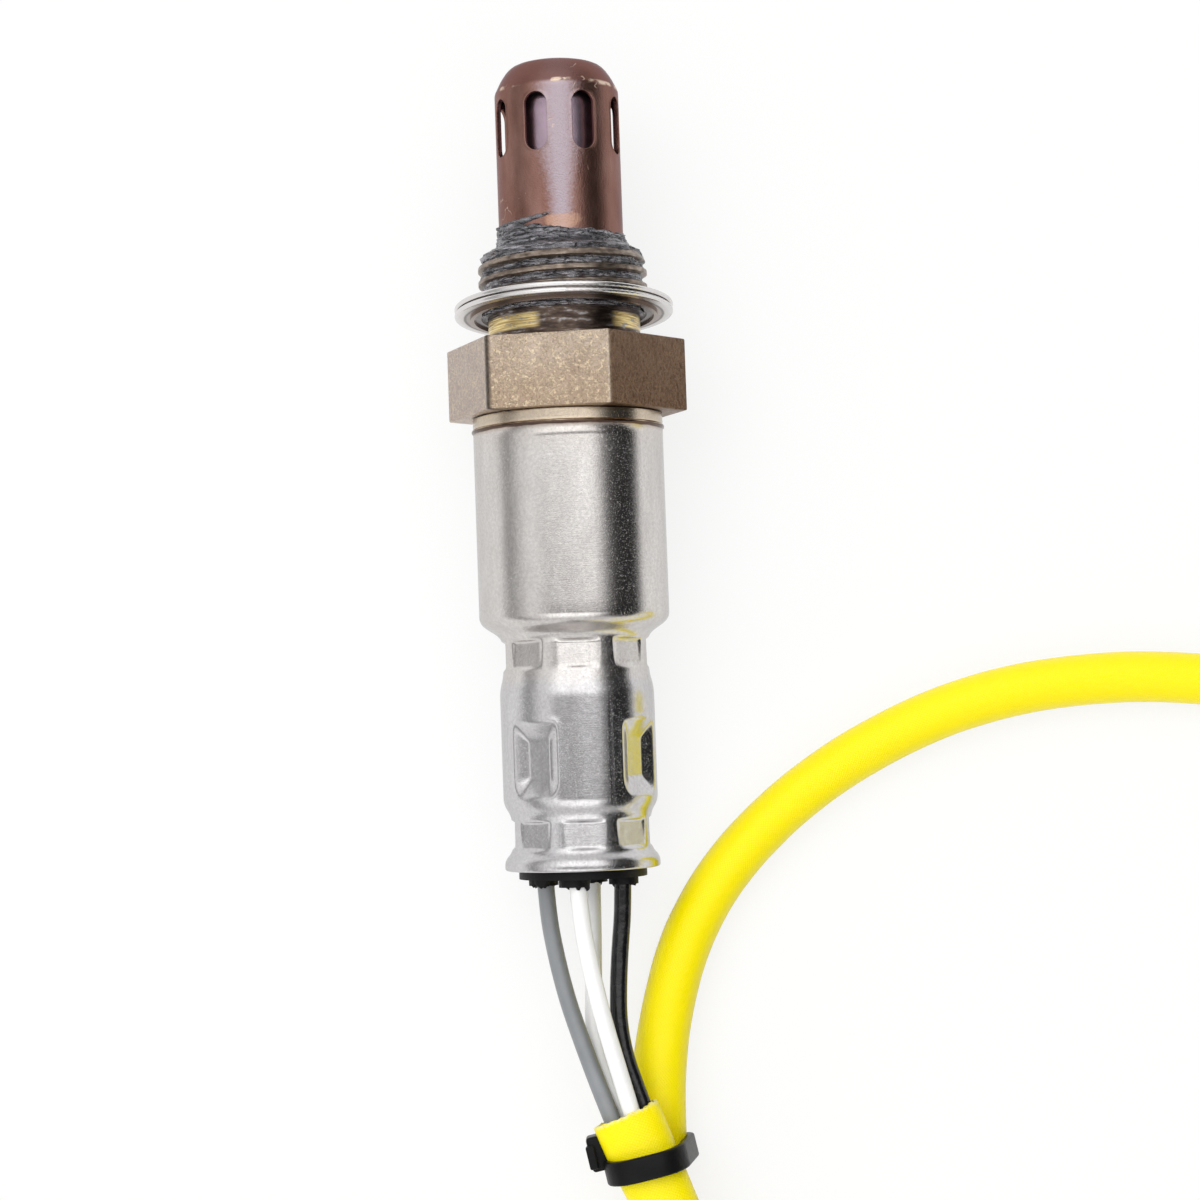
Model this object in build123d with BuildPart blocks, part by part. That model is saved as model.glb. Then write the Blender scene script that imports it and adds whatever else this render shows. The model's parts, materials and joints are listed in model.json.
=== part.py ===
"""Heated four-wire oxygen sensor for an exhaust pipe, lying on a table with its lead looped.

The sensor lies along Y with its slotted tip towards +Y and its lead towards -Y, and the table is
Z = 0.  Its own axis rises towards the tip, because it rests on one corner of the hexagon and on
the flared end of the casing.  Every place along that axis is a station: the distance in
millimetres from the seat, which is the face of the hexagon that the gasket is tightened against.
Stations grow towards the tip.  Turns about the axis are degrees from straight up, towards +X.
"""

import os
from math import atan2, cos, degrees, radians, sin, tan

from build123d import *

os.makedirs("parts", exist_ok=True)

# ---- Running fits ----------------------------------------------------------------------------
FIT = 0.03                  # gap between pieces that are pressed, stacked or slid together
LOOSE = 0.15                # gap between pieces that only lie together

# ---- Shell: hexagon, neck, thread and the lip rolled over the covers ---------------------------
HEX_ACROSS_FLATS = 22.0
HEX_HEIGHT = 7.55
HEX_TURN = -9.0             # where the uppermost flat faces
HEX_EDGE_BREAK = 0.25
NECK_R = 8.0
NECK_LENGTH = 5.1
THREAD_R = 9.0              # M18 x 1.5, drawn at its major radius
THREAD_LENGTH = 4.4
LIP_FOOT_R = 8.5
LIP_TOP_R = 7.1
LIP_HEIGHT = 1.2
LIP_THICKNESS = 1.35        # of the rolled lip above the flanges of the covers
THROAT_R = 4.6              # bore round the slim part of the thimble
LEDGE_STATION = 1.6         # ledge that the thimble is packed against
WELL_R = 6.2                # bore round the packing
SPIGOT_LENGTH = 5.0         # part of the shell that fills the casing
TAIL_WALL = 1.4
TAIL_LIP_THICKNESS = 0.7    # end of the tail, rolled inwards over the crimp ring
TAIL_LIP_R = 5.2

# ---- Protection covers -------------------------------------------------------------------------
COVER_WALL = 0.5
OUTER_COVER_R = 6.55
OUTER_COVER_REACH = 29.8    # station of its crown
OUTER_COVER_CORNER = 3.0
COVER_CROWN = 0.2           # height of the slight dome inside the corner
COVER_FLANGE_R = 7.6
SLOT_COUNT = 8
SLOT_WIDTH = 2.4
SLOT_LENGTH = 6.05
SLOT_STATION = 22.7
SLOT_TURN = -19.7
INNER_COVER_R = 5.3
INNER_COVER_WALL = 0.4
COVER_CROWN_GAP = 1.7       # between the crowns of the two covers
INNER_COVER_CORNER = 2.2
VENT_R = 0.9
VENT_COUNT = 6
VENT_STATION = 13.5

# ---- Gasket: crush washer folded from steel strip, hanging loose on the neck --------------------
GASKET_R = 11.55
GASKET_BORE_R = 8.75
GASKET_LEAF = 0.56          # thickness of each of the two leaves
GASKET_GROOVE = 0.1         # gap between the leaves, open outwards
GASKET_GROOVE_DEPTH = 0.8
GASKET_CURL_R = 9.9         # turned-down inner edge
GASKET_CURL_HEIGHT = 0.25
GASKET_CURL_WALL = 0.4
GASKET_STATION = 3.7

# ---- Casing: one pressed stainless tube ----------------------------------------------------------
CASING_WALL = 0.5
BARREL_R = 9.98
BARREL_LENGTH = 20.9
WELD_BELOW_TOP = 1.65
WELD_BEAD_R = 0.2
SHOULDER_LENGTH = 3.0
CRIMP_LENGTH = 2.3
CRIMP_R = 7.65              # over the ridges left between the jaws
CRIMP_JAW_FACE = 7.2        # from the axis to the flat that a jaw leaves
SWELL_LENGTH = 2.7
BODY_R = 8.08
BODY_LENGTH = 10.9
TAPER_LENGTH = 2.7
END_CRIMP_LENGTH = 2.4
END_CRIMP_R = 7.3
END_CRIMP_JAW_FACE = 6.85
FLARE_LENGTH = 2.5
FLARE_R = 8.13
JAW_COUNT = 8
JAW_TURN = 7.0
JAW_LENGTH = 2.8
JAW_WIDTH = 5.6             # wider than the flat, which the tube's roundness limits
DENT_COUNT = 4
DENT_TURN = -40.4
DENT_FLOOR = 7.0            # from the axis to the flat floor of a dent
DENT_FLOOR_WIDTH = 2.6
DENT_FLOOR_LENGTH = 3.5
DENT_FLOOR_CORNER = 0.4
DENT_SIDE_FLARE = 2.9       # how much a side moves out for each millimetre of height
DENT_END_FLARE = 2.05
DENT_RIM_CORNER = 1.0
DENT_OVERCUT = 0.2          # how far the cut reaches beyond the body
DENT_ABOVE_TAPER = 3.9      # from the end of the body up to the middle of a dent

# ---- Grommet ---------------------------------------------------------------------------------
GROMMET_FACE_R = 7.2
GROMMET_PROUD = 0.9         # beyond the casing's end
GROMMET_GAP = 0.5           # below the separator
GROMMET_STEP = 0.8          # above the casing's end, where its face draws in from the flare
COLLAR_R = 1.55
COLLAR_HEIGHT = 0.8

# ---- Sensing element and what packs it in the shell ------------------------------------------------
WASHER_THICKNESS = 0.4
ELEMENT_TIP_GAP = 2.2        # between the thimble's tip and the inner cover's crown
ELEMENT_TIP_R = 2.9
ELEMENT_WAIST_R = 3.6
ELEMENT_COLLAR_R = 5.6
ELEMENT_COLLAR_LENGTH = 4.2
ELEMENT_TAIL_R = 4.2
ELEMENT_TAIL_LENGTH = 20.0
ELEMENT_BORE_R = 2.15
ELEMENT_WALL = 1.05         # at the tip
HEATER_R = 1.5
HEATER_TIP_GAP = 3.0         # between the heater's end and the thimble's tip
HEATER_FOOT_GAP = 0.6
HEATER_CHAMFER = 0.4
TALC_LENGTH = 4.95
PRESSURE_RING_LENGTH = 6.5
CRIMP_RING_THICKNESS = 0.85
CONTACT_LENGTH = 6.0
OUTER_CONTACT_WALL = 0.4
INNER_CONTACT_PROUD = 1.0   # below the open end of the thimble

# ---- Separator and terminals ------------------------------------------------------------------
SPRING_THICKNESS = 0.4
SPRING_HEIGHT = 0.9
SPRING_BORE_R = 5.6
SKIRT_R = 7.4
SKIRT_BORE_R = 5.3
FLANGE_PLAY = 0.28          # between the flange and the barrel
FLANGE_THICKNESS = 3.8
FLANGE_BELOW_BARREL = 1.2
FLANGE_CHAMFER = 0.6
CHANNEL_R = 1.3
HEATER_WELL_R = 1.7
HEATER_WELL_DEPTH = 3.0
TERMINAL_BARREL_R = 1.2
TERMINAL_BARREL_LENGTH = 4.0
TERMINAL_CAP = 0.8
BLADE_WIDTH = 1.6
BLADE_THICKNESS = 0.35
FOOT_HEIGHT = 0.5
HEATER_FOOT_LIFT = 0.45
INNER_FOOT_DROP = 0.9

# ---- Lead ------------------------------------------------------------------------------------
WIRE_R = 0.9
WIRE_PITCH_R = 4.3
WIRE_TURN = -13.0           # turn of the uppermost wire
SLEEVE_R = 2.85
SLEEVE_BORE_R = 2.48
SLEEVE_MOUTH_DEPTH = 8.0
BUNDLE_R = 1.53             # radius on which the four wires lie in the sleeve

# ---- Cable tie -------------------------------------------------------------------------------
TIE_WIDTH = 2.5
TIE_THICKNESS = 1.0
TIE_UPPER_R = 2.8           # bend of the strap over each side of the flattened upper strand
TIE_UPPER_SPREAD = 0.75
TIE_LOWER_R = 3.05
TIE_LOWER_SPREAD = 0.5
TIE_HEAD_WIDTH = 3.6
TIE_HEAD_HEIGHT = 4.2
TIE_HEAD_DEPTH = 2.7
TIE_HEADING = -78.0         # direction of the strands through the tie, seen from above
TIE_UPPER_SHARE = 0.38      # of the way along the run that each strand makes through the tie
TIE_LOWER_SHARE = 0.70

# ---- Plug ------------------------------------------------------------------------------------
PLUG_WIDTH = 19.0
PLUG_HEIGHT = 14.5
PLUG_LENGTH = 27.0
PLUG_CORNER = 2.0
PLUG_WALL = 1.5
PLUG_MOUTH_DEPTH = 13.0
PLUG_COLLAR = 1.0           # how far the rear collar stands out
PLUG_COLLAR_LENGTH = 6.0
PLUG_HEADING = -90.0        # direction of the mouth, seen from above
PLUG_X = 2.0
PLUG_BACK_Y = -113.0
POCKET_R = 2.1
POCKET_DEPTH = 8.0
POCKET_PITCH = 5.2
SEAL_LENGTH = 6.5
SEAL_RIB = 0.35
SEAL_RIB_COUNT = 3
PIN_WIDTH = 1.5
PIN_THICKNESS = 0.8
PIN_REACH = 8.5             # free length in the mouth
PIN_ROOT = 4.0              # length held in the body
LATCH_WIDTH = 6.0
LATCH_HEIGHT = 1.6
LATCH_LENGTH = 9.0

# ---- Stations that follow from the lengths -------------------------------------------------------
thread_start = NECK_LENGTH
thread_end = thread_start + THREAD_LENGTH
shell_top = thread_end + LIP_HEIGHT
pocket_top = shell_top - LIP_THICKNESS
outer_flange = pocket_top - FIT - COVER_WALL
inner_flange = outer_flange - FIT - INNER_COVER_WALL
inner_cover_reach = OUTER_COVER_REACH - COVER_WALL - COVER_CROWN_GAP
pocket_floor = inner_flange - FIT

washer_foot = LEDGE_STATION - FIT - WASHER_THICKNESS
collar_top = washer_foot - FIT
collar_foot = collar_top - ELEMENT_COLLAR_LENGTH
talc_foot = collar_foot - FIT - TALC_LENGTH
pressure_foot = talc_foot - FIT - PRESSURE_RING_LENGTH
crimp_ring_foot = pressure_foot - FIT - CRIMP_RING_THICKNESS
tail_lip_top = crimp_ring_foot - FIT
shell_foot = tail_lip_top - TAIL_LIP_THICKNESS
element_foot = collar_foot - ELEMENT_TAIL_LENGTH
element_tip = inner_cover_reach - INNER_COVER_WALL - ELEMENT_TIP_GAP

casing_top = -HEX_HEIGHT - FIT
weld_station = casing_top - WELD_BELOW_TOP
barrel_end = casing_top - BARREL_LENGTH
crimp_start = barrel_end - SHOULDER_LENGTH
crimp_end = crimp_start - CRIMP_LENGTH
body_start = crimp_end - SWELL_LENGTH
body_end = body_start - BODY_LENGTH
end_crimp_start = body_end - TAPER_LENGTH
end_crimp_end = end_crimp_start - END_CRIMP_LENGTH
casing_end = end_crimp_end - FLARE_LENGTH
dent_station = body_end + DENT_ABOVE_TAPER
dent_turns = [DENT_TURN + i * 360 / DENT_COUNT for i in range(DENT_COUNT)]
spigot_foot = casing_top - SPIGOT_LENGTH

flange_r = BARREL_R - CASING_WALL - FLANGE_PLAY
flange_foot = barrel_end - FLANGE_BELOW_BARREL
flange_top = flange_foot + FLANGE_THICKNESS
separator_top = shell_foot - FIT - SPRING_HEIGHT - FIT
separator_foot = dent_station - DENT_FLOOR_LENGTH / 2 - FIT
stem_r = DENT_FLOOR - CASING_WALL - FIT
grommet_top = separator_foot - GROMMET_GAP
grommet_step = casing_end + GROMMET_STEP
grommet_face = casing_end - GROMMET_PROUD
grommet_end = grommet_face - COLLAR_HEIGHT

# ---- How the sensor lies --------------------------------------------------------------------------
hex_corner_r = HEX_ACROSS_FLATS / 2 / cos(radians(30))
hex_drop = hex_corner_r * cos(radians(HEX_TURN + 30))
contact_station = HEX_EDGE_BREAK - HEX_HEIGHT
lie_tilt = atan2(hex_drop - FLARE_R, contact_station - casing_end)
seat_height = hex_drop * cos(lie_tilt) - contact_station * sin(lie_tilt)
tip_reach = OUTER_COVER_REACH * cos(lie_tilt) + OUTER_COVER_CORNER * sin(lie_tilt)
lead_reach = grommet_end * cos(lie_tilt) - (WIRE_PITCH_R + COLLAR_R) * sin(lie_tilt)
seat_y = -(tip_reach + lead_reach) / 2

ALONG = Vector(0, cos(lie_tilt), sin(lie_tilt))
UP = Vector(0, -sin(lie_tilt), cos(lie_tilt))
ACROSS = Vector(1, 0, 0)
SEAT = Plane(origin=(0, seat_y, seat_height), x_dir=ACROSS, z_dir=ALONG)
LENGTHWISE = Plane(origin=SEAT.origin, x_dir=ACROSS, z_dir=UP)
AXIS = Axis(SEAT.origin, ALONG)


def section(station):
    """Plane square to the sensor's axis, its x across and its y down."""
    return SEAT.offset(station)


def outward(turn):
    """Direction from the axis at a turn about it."""
    return ACROSS * sin(radians(turn)) + UP * cos(radians(turn))


def side(station, turn, distance):
    """Plane facing away from the axis, its x round the axis and its y towards the tip."""
    around = ACROSS * cos(radians(turn)) - UP * sin(radians(turn))
    origin = SEAT.origin + ALONG * station + outward(turn) * distance
    return Plane(origin=origin, x_dir=around, z_dir=outward(turn))


def place(station, turn, distance):
    """Point at a station, a turn and a distance from the axis."""
    return SEAT.origin + ALONG * station + outward(turn) * distance


def square_to(origin, heading):
    """Plane square to a heading, its x level and to the right, its y upwards."""
    return Plane(origin=origin, x_dir=Vector(0, 0, 1).cross(heading), z_dir=heading)


def outline(*corners):
    """Face in the lengthwise plane with corners given as (radius, station)."""
    with BuildSketch(LENGTHWISE) as shape:
        with BuildLine():
            Polyline(*corners, close=True)
        make_face()
    return shape.sketch


def ring(inner_r, outer_r, foot, top):
    """Face that turns into a plain ring."""
    return outline((inner_r, foot), (outer_r, foot), (outer_r, top), (inner_r, top))


def hand_in(piece, name):
    """Labels a piece and writes its file."""
    piece.part.label = name
    export_step(piece.part, f"parts/{name}.step")


# ---- Shell -----------------------------------------------------------------------------------------
spigot_r = BARREL_R - CASING_WALL - FIT
tail_r = WELL_R + TAIL_WALL

with BuildPart() as hex_shell:
    with BuildSketch(section(0)):
        RegularPolygon(HEX_ACROSS_FLATS / 2, 6, major_radius=False, rotation=HEX_TURN)
    extrude(amount=-HEX_HEIGHT)
    hex_ends = hex_shell.faces().filter_by(SEAT)
    chamfer(hex_ends.edges(), HEX_EDGE_BREAK)
    revolve(
        outline(
            (0, shell_top),
            (LIP_TOP_R, shell_top),
            (LIP_FOOT_R, thread_end),
            (THREAD_R, thread_end),
            (THREAD_R, thread_start),
            (NECK_R, thread_start),
            (NECK_R, -HEX_HEIGHT / 2),
            (spigot_r, -HEX_HEIGHT / 2),
            (spigot_r, spigot_foot),
            (tail_r, spigot_foot),
            (tail_r, shell_foot),
            (0, shell_foot),
        ),
        axis=AXIS,
    )
    cover_hole_r = OUTER_COVER_R + FIT
    pocket_r = COVER_FLANGE_R + FIT
    revolve(
        outline(
            (0, shell_top),
            (cover_hole_r, shell_top),
            (cover_hole_r, pocket_top),
            (pocket_r, pocket_top),
            (pocket_r, pocket_floor),
            (THROAT_R, pocket_floor),
            (THROAT_R, LEDGE_STATION),
            (WELL_R, LEDGE_STATION),
            (WELL_R, tail_lip_top),
            (TAIL_LIP_R, tail_lip_top),
            (TAIL_LIP_R, shell_foot),
            (0, shell_foot),
        ),
        axis=AXIS,
        mode=Mode.SUBTRACT,
    )
hand_in(hex_shell, "hex_shell")


# ---- Protection covers -----------------------------------------------------------------------------
def cup_face(radius, foot, reach, corner):
    """Half outline of a closed cup: straight wall, rounded corner and slightly domed crown."""
    with BuildSketch(LENGTHWISE) as shape:
        with BuildLine():
            wall = Line((radius, foot), (radius, reach - COVER_CROWN - corner))
            bend = CenterArc((radius - corner, reach - COVER_CROWN - corner), corner, 0, 90)
            crown = Spline(bend @ 1, (0, reach), tangents=[(-1, 0), (-1, 0)])
            Polyline(crown @ 1, (0, foot), wall @ 0)
        make_face()
    return shape.sketch


def cup(radius, wall, foot, reach, corner):
    """Drawn steel cup with a flat flange at its open end."""
    with BuildPart() as shell:
        revolve(cup_face(radius, foot, reach, corner), axis=AXIS)
        revolve(ring(0, COVER_FLANGE_R, foot, foot + wall), axis=AXIS)
        inside = cup_face(radius - wall, foot, reach - wall, corner - wall)
        revolve(inside, axis=AXIS, mode=Mode.SUBTRACT)
    return shell.part


with BuildPart() as outer_cover:
    add(cup(OUTER_COVER_R, COVER_WALL, outer_flange, OUTER_COVER_REACH, OUTER_COVER_CORNER))
    slot_turns = [SLOT_TURN + i * 360 / SLOT_COUNT for i in range(SLOT_COUNT)]
    with BuildSketch(*[side(SLOT_STATION, turn, INNER_COVER_R) for turn in slot_turns]):
        SlotOverall(SLOT_LENGTH, SLOT_WIDTH, rotation=90)
    extrude(amount=OUTER_COVER_R, mode=Mode.SUBTRACT)
hand_in(outer_cover, "outer_cover")

with BuildPart() as inner_cover:
    add(cup(INNER_COVER_R, INNER_COVER_WALL, inner_flange, inner_cover_reach, INNER_COVER_CORNER))
    vent_turns = [i * 360 / VENT_COUNT for i in range(VENT_COUNT)]
    with BuildSketch(*[side(VENT_STATION, turn, ELEMENT_WAIST_R) for turn in vent_turns]):
        Circle(VENT_R)
    extrude(amount=INNER_COVER_R, mode=Mode.SUBTRACT)
hand_in(inner_cover, "inner_cover")

# ---- Gasket ------------------------------------------------------------------------------------------
# It hangs plumb: its bore rests on the top of the neck, so its middle is below the sensor's axis.
gasket_hang = GASKET_BORE_R - NECK_R - LOOSE
gasket_middle = place(GASKET_STATION, 180, gasket_hang)
gasket_plane = Plane(origin=gasket_middle, x_dir=ACROSS, z_dir=(0, 0, 1))
gasket_axis = Axis(gasket_middle, (0, 1, 0))
leaf_gap = GASKET_GROOVE / 2
groove_r = GASKET_R - GASKET_GROOVE_DEPTH
leaf_round = GASKET_LEAF / 2 - FIT

with BuildPart() as gasket:
    with BuildSketch(gasket_plane):
        for leaf in (1, -1):
            with BuildLine():
                near = leaf * leaf_gap
                far = leaf * (leaf_gap + GASKET_LEAF)
                Polyline((GASKET_BORE_R, 0), (groove_r, 0), (groove_r, near), (GASKET_R, near),
                         (GASKET_R, far), (GASKET_BORE_R, far), close=True)
            make_face()
        curl_foot = -leaf_gap - GASKET_LEAF - GASKET_CURL_HEIGHT
        with Locations((GASKET_CURL_R - GASKET_CURL_WALL / 2, curl_foot / 2)):
            Rectangle(GASKET_CURL_WALL, -curl_foot)
    revolve(axis=gasket_axis)
    rim = gasket.edges().filter_by(GeomType.CIRCLE).filter_by(lambda e: abs(e.radius - GASKET_R) < FIT)
    fillet(rim, leaf_round)
hand_in(gasket, "gasket")


# ---- Casing --------------------------------------------------------------------------------------
def s_curve(start, end):
    """Press-formed change of radius, parallel to the axis at both ends."""
    middle = (start[1] + end[1]) / 2
    Bezier(start, (start[0], middle), (end[0], middle), end)


def casing_form(inset):
    """The casing's outside moved inwards by an inset, as a solid without its bore."""
    with BuildPart() as form:
        with BuildSketch(LENGTHWISE):
            with BuildLine():
                barrel = (BARREL_R - inset, barrel_end)
                crimp = (CRIMP_R - inset, crimp_start)
                crimp_foot = (CRIMP_R - inset, crimp_end)
                body = (BODY_R - inset, body_start)
                body_foot = (BODY_R - inset, body_end)
                end_crimp = (END_CRIMP_R - inset, end_crimp_start)
                end_crimp_foot = (END_CRIMP_R - inset, end_crimp_end)
                flare = (FLARE_R - inset, casing_end + CASING_WALL)
                flare_foot = (FLARE_R - inset, casing_end - inset)
                Polyline((0, casing_top + inset), (BARREL_R - inset, casing_top + inset), barrel)
                s_curve(barrel, crimp)
                Line(crimp, crimp_foot)
                s_curve(crimp_foot, body)
                Line(body, body_foot)
                s_curve(body_foot, end_crimp)
                Line(end_crimp, end_crimp_foot)
                s_curve(end_crimp_foot, flare)
                Polyline(flare, flare_foot, (0, casing_end - inset), (0, casing_top + inset))
            make_face()
        revolve(axis=AXIS)
        crimps = [
            ((crimp_start + crimp_end) / 2, CRIMP_JAW_FACE),
            ((end_crimp_start + end_crimp_end) / 2, END_CRIMP_JAW_FACE),
        ]
        jaw_turns = [JAW_TURN + i * 360 / JAW_COUNT for i in range(JAW_COUNT)]
        for station, face in crimps:
            with BuildSketch(*[side(station, turn, face - inset) for turn in jaw_turns]):
                Rectangle(JAW_WIDTH, JAW_LENGTH)
            extrude(amount=BARREL_R - face, mode=Mode.SUBTRACT)
        for turn in dent_turns:
            height = BODY_R + DENT_OVERCUT - DENT_FLOOR
            wide = DENT_FLOOR_WIDTH + 2 * DENT_SIDE_FLARE * height
            long = DENT_FLOOR_LENGTH + 2 * DENT_END_FLARE * height
            with BuildSketch(side(dent_station, turn, DENT_FLOOR - inset)):
                RectangleRounded(DENT_FLOOR_WIDTH, DENT_FLOOR_LENGTH, DENT_FLOOR_CORNER)
            with BuildSketch(side(dent_station, turn, DENT_FLOOR + height - inset)):
                RectangleRounded(wide, long, DENT_RIM_CORNER)
            loft(mode=Mode.SUBTRACT)
    return form.part


with BuildPart() as casing:
    add(casing_form(0))
    with BuildSketch(LENGTHWISE):
        with Locations((BARREL_R, weld_station)):
            Circle(WELD_BEAD_R)
    revolve(axis=AXIS)
    add(casing_form(CASING_WALL), mode=Mode.SUBTRACT)
hand_in(casing, "casing")

# ---- Grommet: it fills the casing's end and takes its shape ---------------------------------------
wire_turns = [WIRE_TURN + i * 90 for i in range(4)]
wire_start_angle = WIRE_TURN - 90

with BuildPart() as grommet:
    add(casing_form(CASING_WALL + FIT))
    split(bisect_by=section(grommet_top), keep=Keep.BOTTOM)
    split(bisect_by=section(grommet_step), keep=Keep.TOP)
    revolve(ring(0, GROMMET_FACE_R - CASING_WALL, grommet_face, grommet_step), axis=AXIS)
    with BuildSketch(section(grommet_face)):
        with PolarLocations(WIRE_PITCH_R, 4, start_angle=wire_start_angle):
            Circle(COLLAR_R)
    extrude(amount=-COLLAR_HEIGHT)
    with BuildSketch(section(grommet_end)):
        with PolarLocations(WIRE_PITCH_R, 4, start_angle=wire_start_angle):
            Circle(WIRE_R + FIT)
    extrude(amount=grommet_top - grommet_end, mode=Mode.SUBTRACT)
hand_in(grommet, "grommet")

# ---- Sensing element, heater and packing -------------------------------------------------------------
with BuildPart() as sensing_element:
    with BuildSketch(LENGTHWISE):
        with BuildLine():
            dome = CenterArc((0, element_tip - ELEMENT_TIP_R), ELEMENT_TIP_R, 90, -90)
            Polyline(
                dome @ 1,
                (ELEMENT_WAIST_R, collar_top),
                (ELEMENT_COLLAR_R - FIT, collar_top),
                (ELEMENT_COLLAR_R, collar_top - FIT),
                (ELEMENT_COLLAR_R, collar_foot),
                (ELEMENT_TAIL_R, collar_foot),
                (ELEMENT_TAIL_R, element_foot),
                (ELEMENT_BORE_R, element_foot),
                (ELEMENT_BORE_R, collar_top),
                (ELEMENT_TIP_R - ELEMENT_WALL, element_tip - ELEMENT_TIP_R),
            )
            hollow = CenterArc(
                (0, element_tip - ELEMENT_TIP_R), ELEMENT_TIP_R - ELEMENT_WALL, 0, 90
            )
            Line(hollow @ 1, dome @ 0)
        make_face()
    revolve(axis=AXIS)
hand_in(sensing_element, "sensing_element")

heater_foot = flange_top - HEATER_WELL_DEPTH + HEATER_FOOT_GAP

with BuildPart() as heater_rod:
    revolve(ring(0, HEATER_R, heater_foot, element_tip - HEATER_TIP_GAP), axis=AXIS)
    chamfer(heater_rod.edges().group_by(Axis(SEAT.origin, ALONG))[-1], HEATER_CHAMFER)
hand_in(heater_rod, "heater_rod")

with BuildPart() as packing_washer:
    revolve(
        ring(THROAT_R, WELL_R - FIT, washer_foot, washer_foot + WASHER_THICKNESS), axis=AXIS
    )
hand_in(packing_washer, "packing_washer")

packed_bore_r = ELEMENT_TAIL_R + FIT
packed_r = WELL_R - FIT

with BuildPart() as talc_ring:
    revolve(ring(packed_bore_r, packed_r, talc_foot, talc_foot + TALC_LENGTH), axis=AXIS)
hand_in(talc_ring, "talc_ring")

with BuildPart() as pressure_ring:
    revolve(
        ring(packed_bore_r, packed_r, pressure_foot, pressure_foot + PRESSURE_RING_LENGTH),
        axis=AXIS,
    )
hand_in(pressure_ring, "pressure_ring")

with BuildPart() as crimp_ring:
    revolve(
        ring(packed_bore_r, packed_r, crimp_ring_foot, crimp_ring_foot + CRIMP_RING_THICKNESS),
        axis=AXIS,
    )
hand_in(crimp_ring, "crimp_ring")

outer_contact_r = packed_bore_r + OUTER_CONTACT_WALL

with BuildPart() as outer_contact:
    revolve(
        ring(packed_bore_r, outer_contact_r, element_foot, element_foot + CONTACT_LENGTH),
        axis=AXIS,
    )
hand_in(outer_contact, "outer_contact")

inner_contact_r = ELEMENT_BORE_R - FIT
inner_contact_foot = element_foot - INNER_CONTACT_PROUD

with BuildPart() as inner_contact:
    revolve(
        ring(HEATER_R + FIT, inner_contact_r, inner_contact_foot, element_foot + CONTACT_LENGTH),
        axis=AXIS,
    )
hand_in(inner_contact, "inner_contact")

# ---- Spring washer and separator ------------------------------------------------------------------------
spring_foot = separator_top + FIT
spring_drop = SPRING_HEIGHT - SPRING_THICKNESS

with BuildPart() as spring_washer:
    revolve(
        outline(
            (SKIRT_R, spring_foot),
            (SKIRT_R, spring_foot + SPRING_THICKNESS),
            (SPRING_BORE_R, spring_foot + spring_drop + SPRING_THICKNESS),
            (SPRING_BORE_R, spring_foot + spring_drop),
        ),
        axis=AXIS,
    )
hand_in(spring_washer, "spring_washer")

with BuildPart() as separator:
    revolve(
        outline(
            (0, flange_top),
            (SKIRT_BORE_R, flange_top),
            (SKIRT_BORE_R, separator_top),
            (SKIRT_R, separator_top),
            (SKIRT_R, flange_top),
            (flange_r, flange_top),
            (flange_r, barrel_end),
            (flange_r - FLANGE_CHAMFER, flange_foot),
            (stem_r, flange_foot),
            (stem_r, separator_foot),
            (0, separator_foot),
        ),
        axis=AXIS,
    )
    revolve(
        ring(0, HEATER_WELL_R, flange_top - HEATER_WELL_DEPTH, flange_top),
        axis=AXIS,
        mode=Mode.SUBTRACT,
    )
    with BuildSketch(section(separator_foot)):
        with PolarLocations(WIRE_PITCH_R, 4, start_angle=wire_start_angle):
            Circle(CHANNEL_R)
    extrude(amount=flange_top - separator_foot, mode=Mode.SUBTRACT)
hand_in(separator, "separator")

# ---- Terminals: a barrel round each wire's end, a blade and a foot on its contact ---------------------
wire_top = separator_foot + TERMINAL_BARREL_LENGTH
blade_foot = wire_top + TERMINAL_CAP
heater_foot_top = flange_top + HEATER_FOOT_LIFT + FOOT_HEIGHT
inner_foot_top = element_foot - INNER_FOOT_DROP + FOOT_HEIGHT
outer_blade_top = element_foot + CONTACT_LENGTH - FOOT_HEIGHT


def terminal(turn, blade_r, blade_top, foot_r):
    """Terminal whose blade stands at a radius and whose foot, if any, reaches in to foot_r."""
    barrel_middle = place(separator_foot, turn, WIRE_PITCH_R)
    barrel_plane = Plane(origin=barrel_middle, x_dir=outward(turn), z_dir=ALONG)
    cap_plane = barrel_plane.offset(TERMINAL_BARREL_LENGTH + FIT)
    with BuildPart() as piece:
        with BuildSketch(barrel_plane):
            Circle(TERMINAL_BARREL_R)
            Circle(WIRE_R + FIT, mode=Mode.SUBTRACT)
        extrude(amount=TERMINAL_BARREL_LENGTH + FIT)
        with BuildSketch(cap_plane):
            Circle(TERMINAL_BARREL_R)
        extrude(amount=TERMINAL_CAP)
        with BuildSketch(cap_plane):
            with Locations((blade_r - WIRE_PITCH_R + BLADE_THICKNESS / 2, 0)):
                Rectangle(BLADE_THICKNESS, BLADE_WIDTH)
        extrude(amount=blade_top - wire_top - FIT)
        if foot_r:
            with BuildSketch(cap_plane.offset(blade_top - wire_top - FIT)):
                reach = blade_r - foot_r + BLADE_THICKNESS
                with Locations((foot_r - WIRE_PITCH_R + reach / 2, 0)):
                    Rectangle(reach, BLADE_WIDTH)
            extrude(amount=-FOOT_HEIGHT)
    return piece


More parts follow.
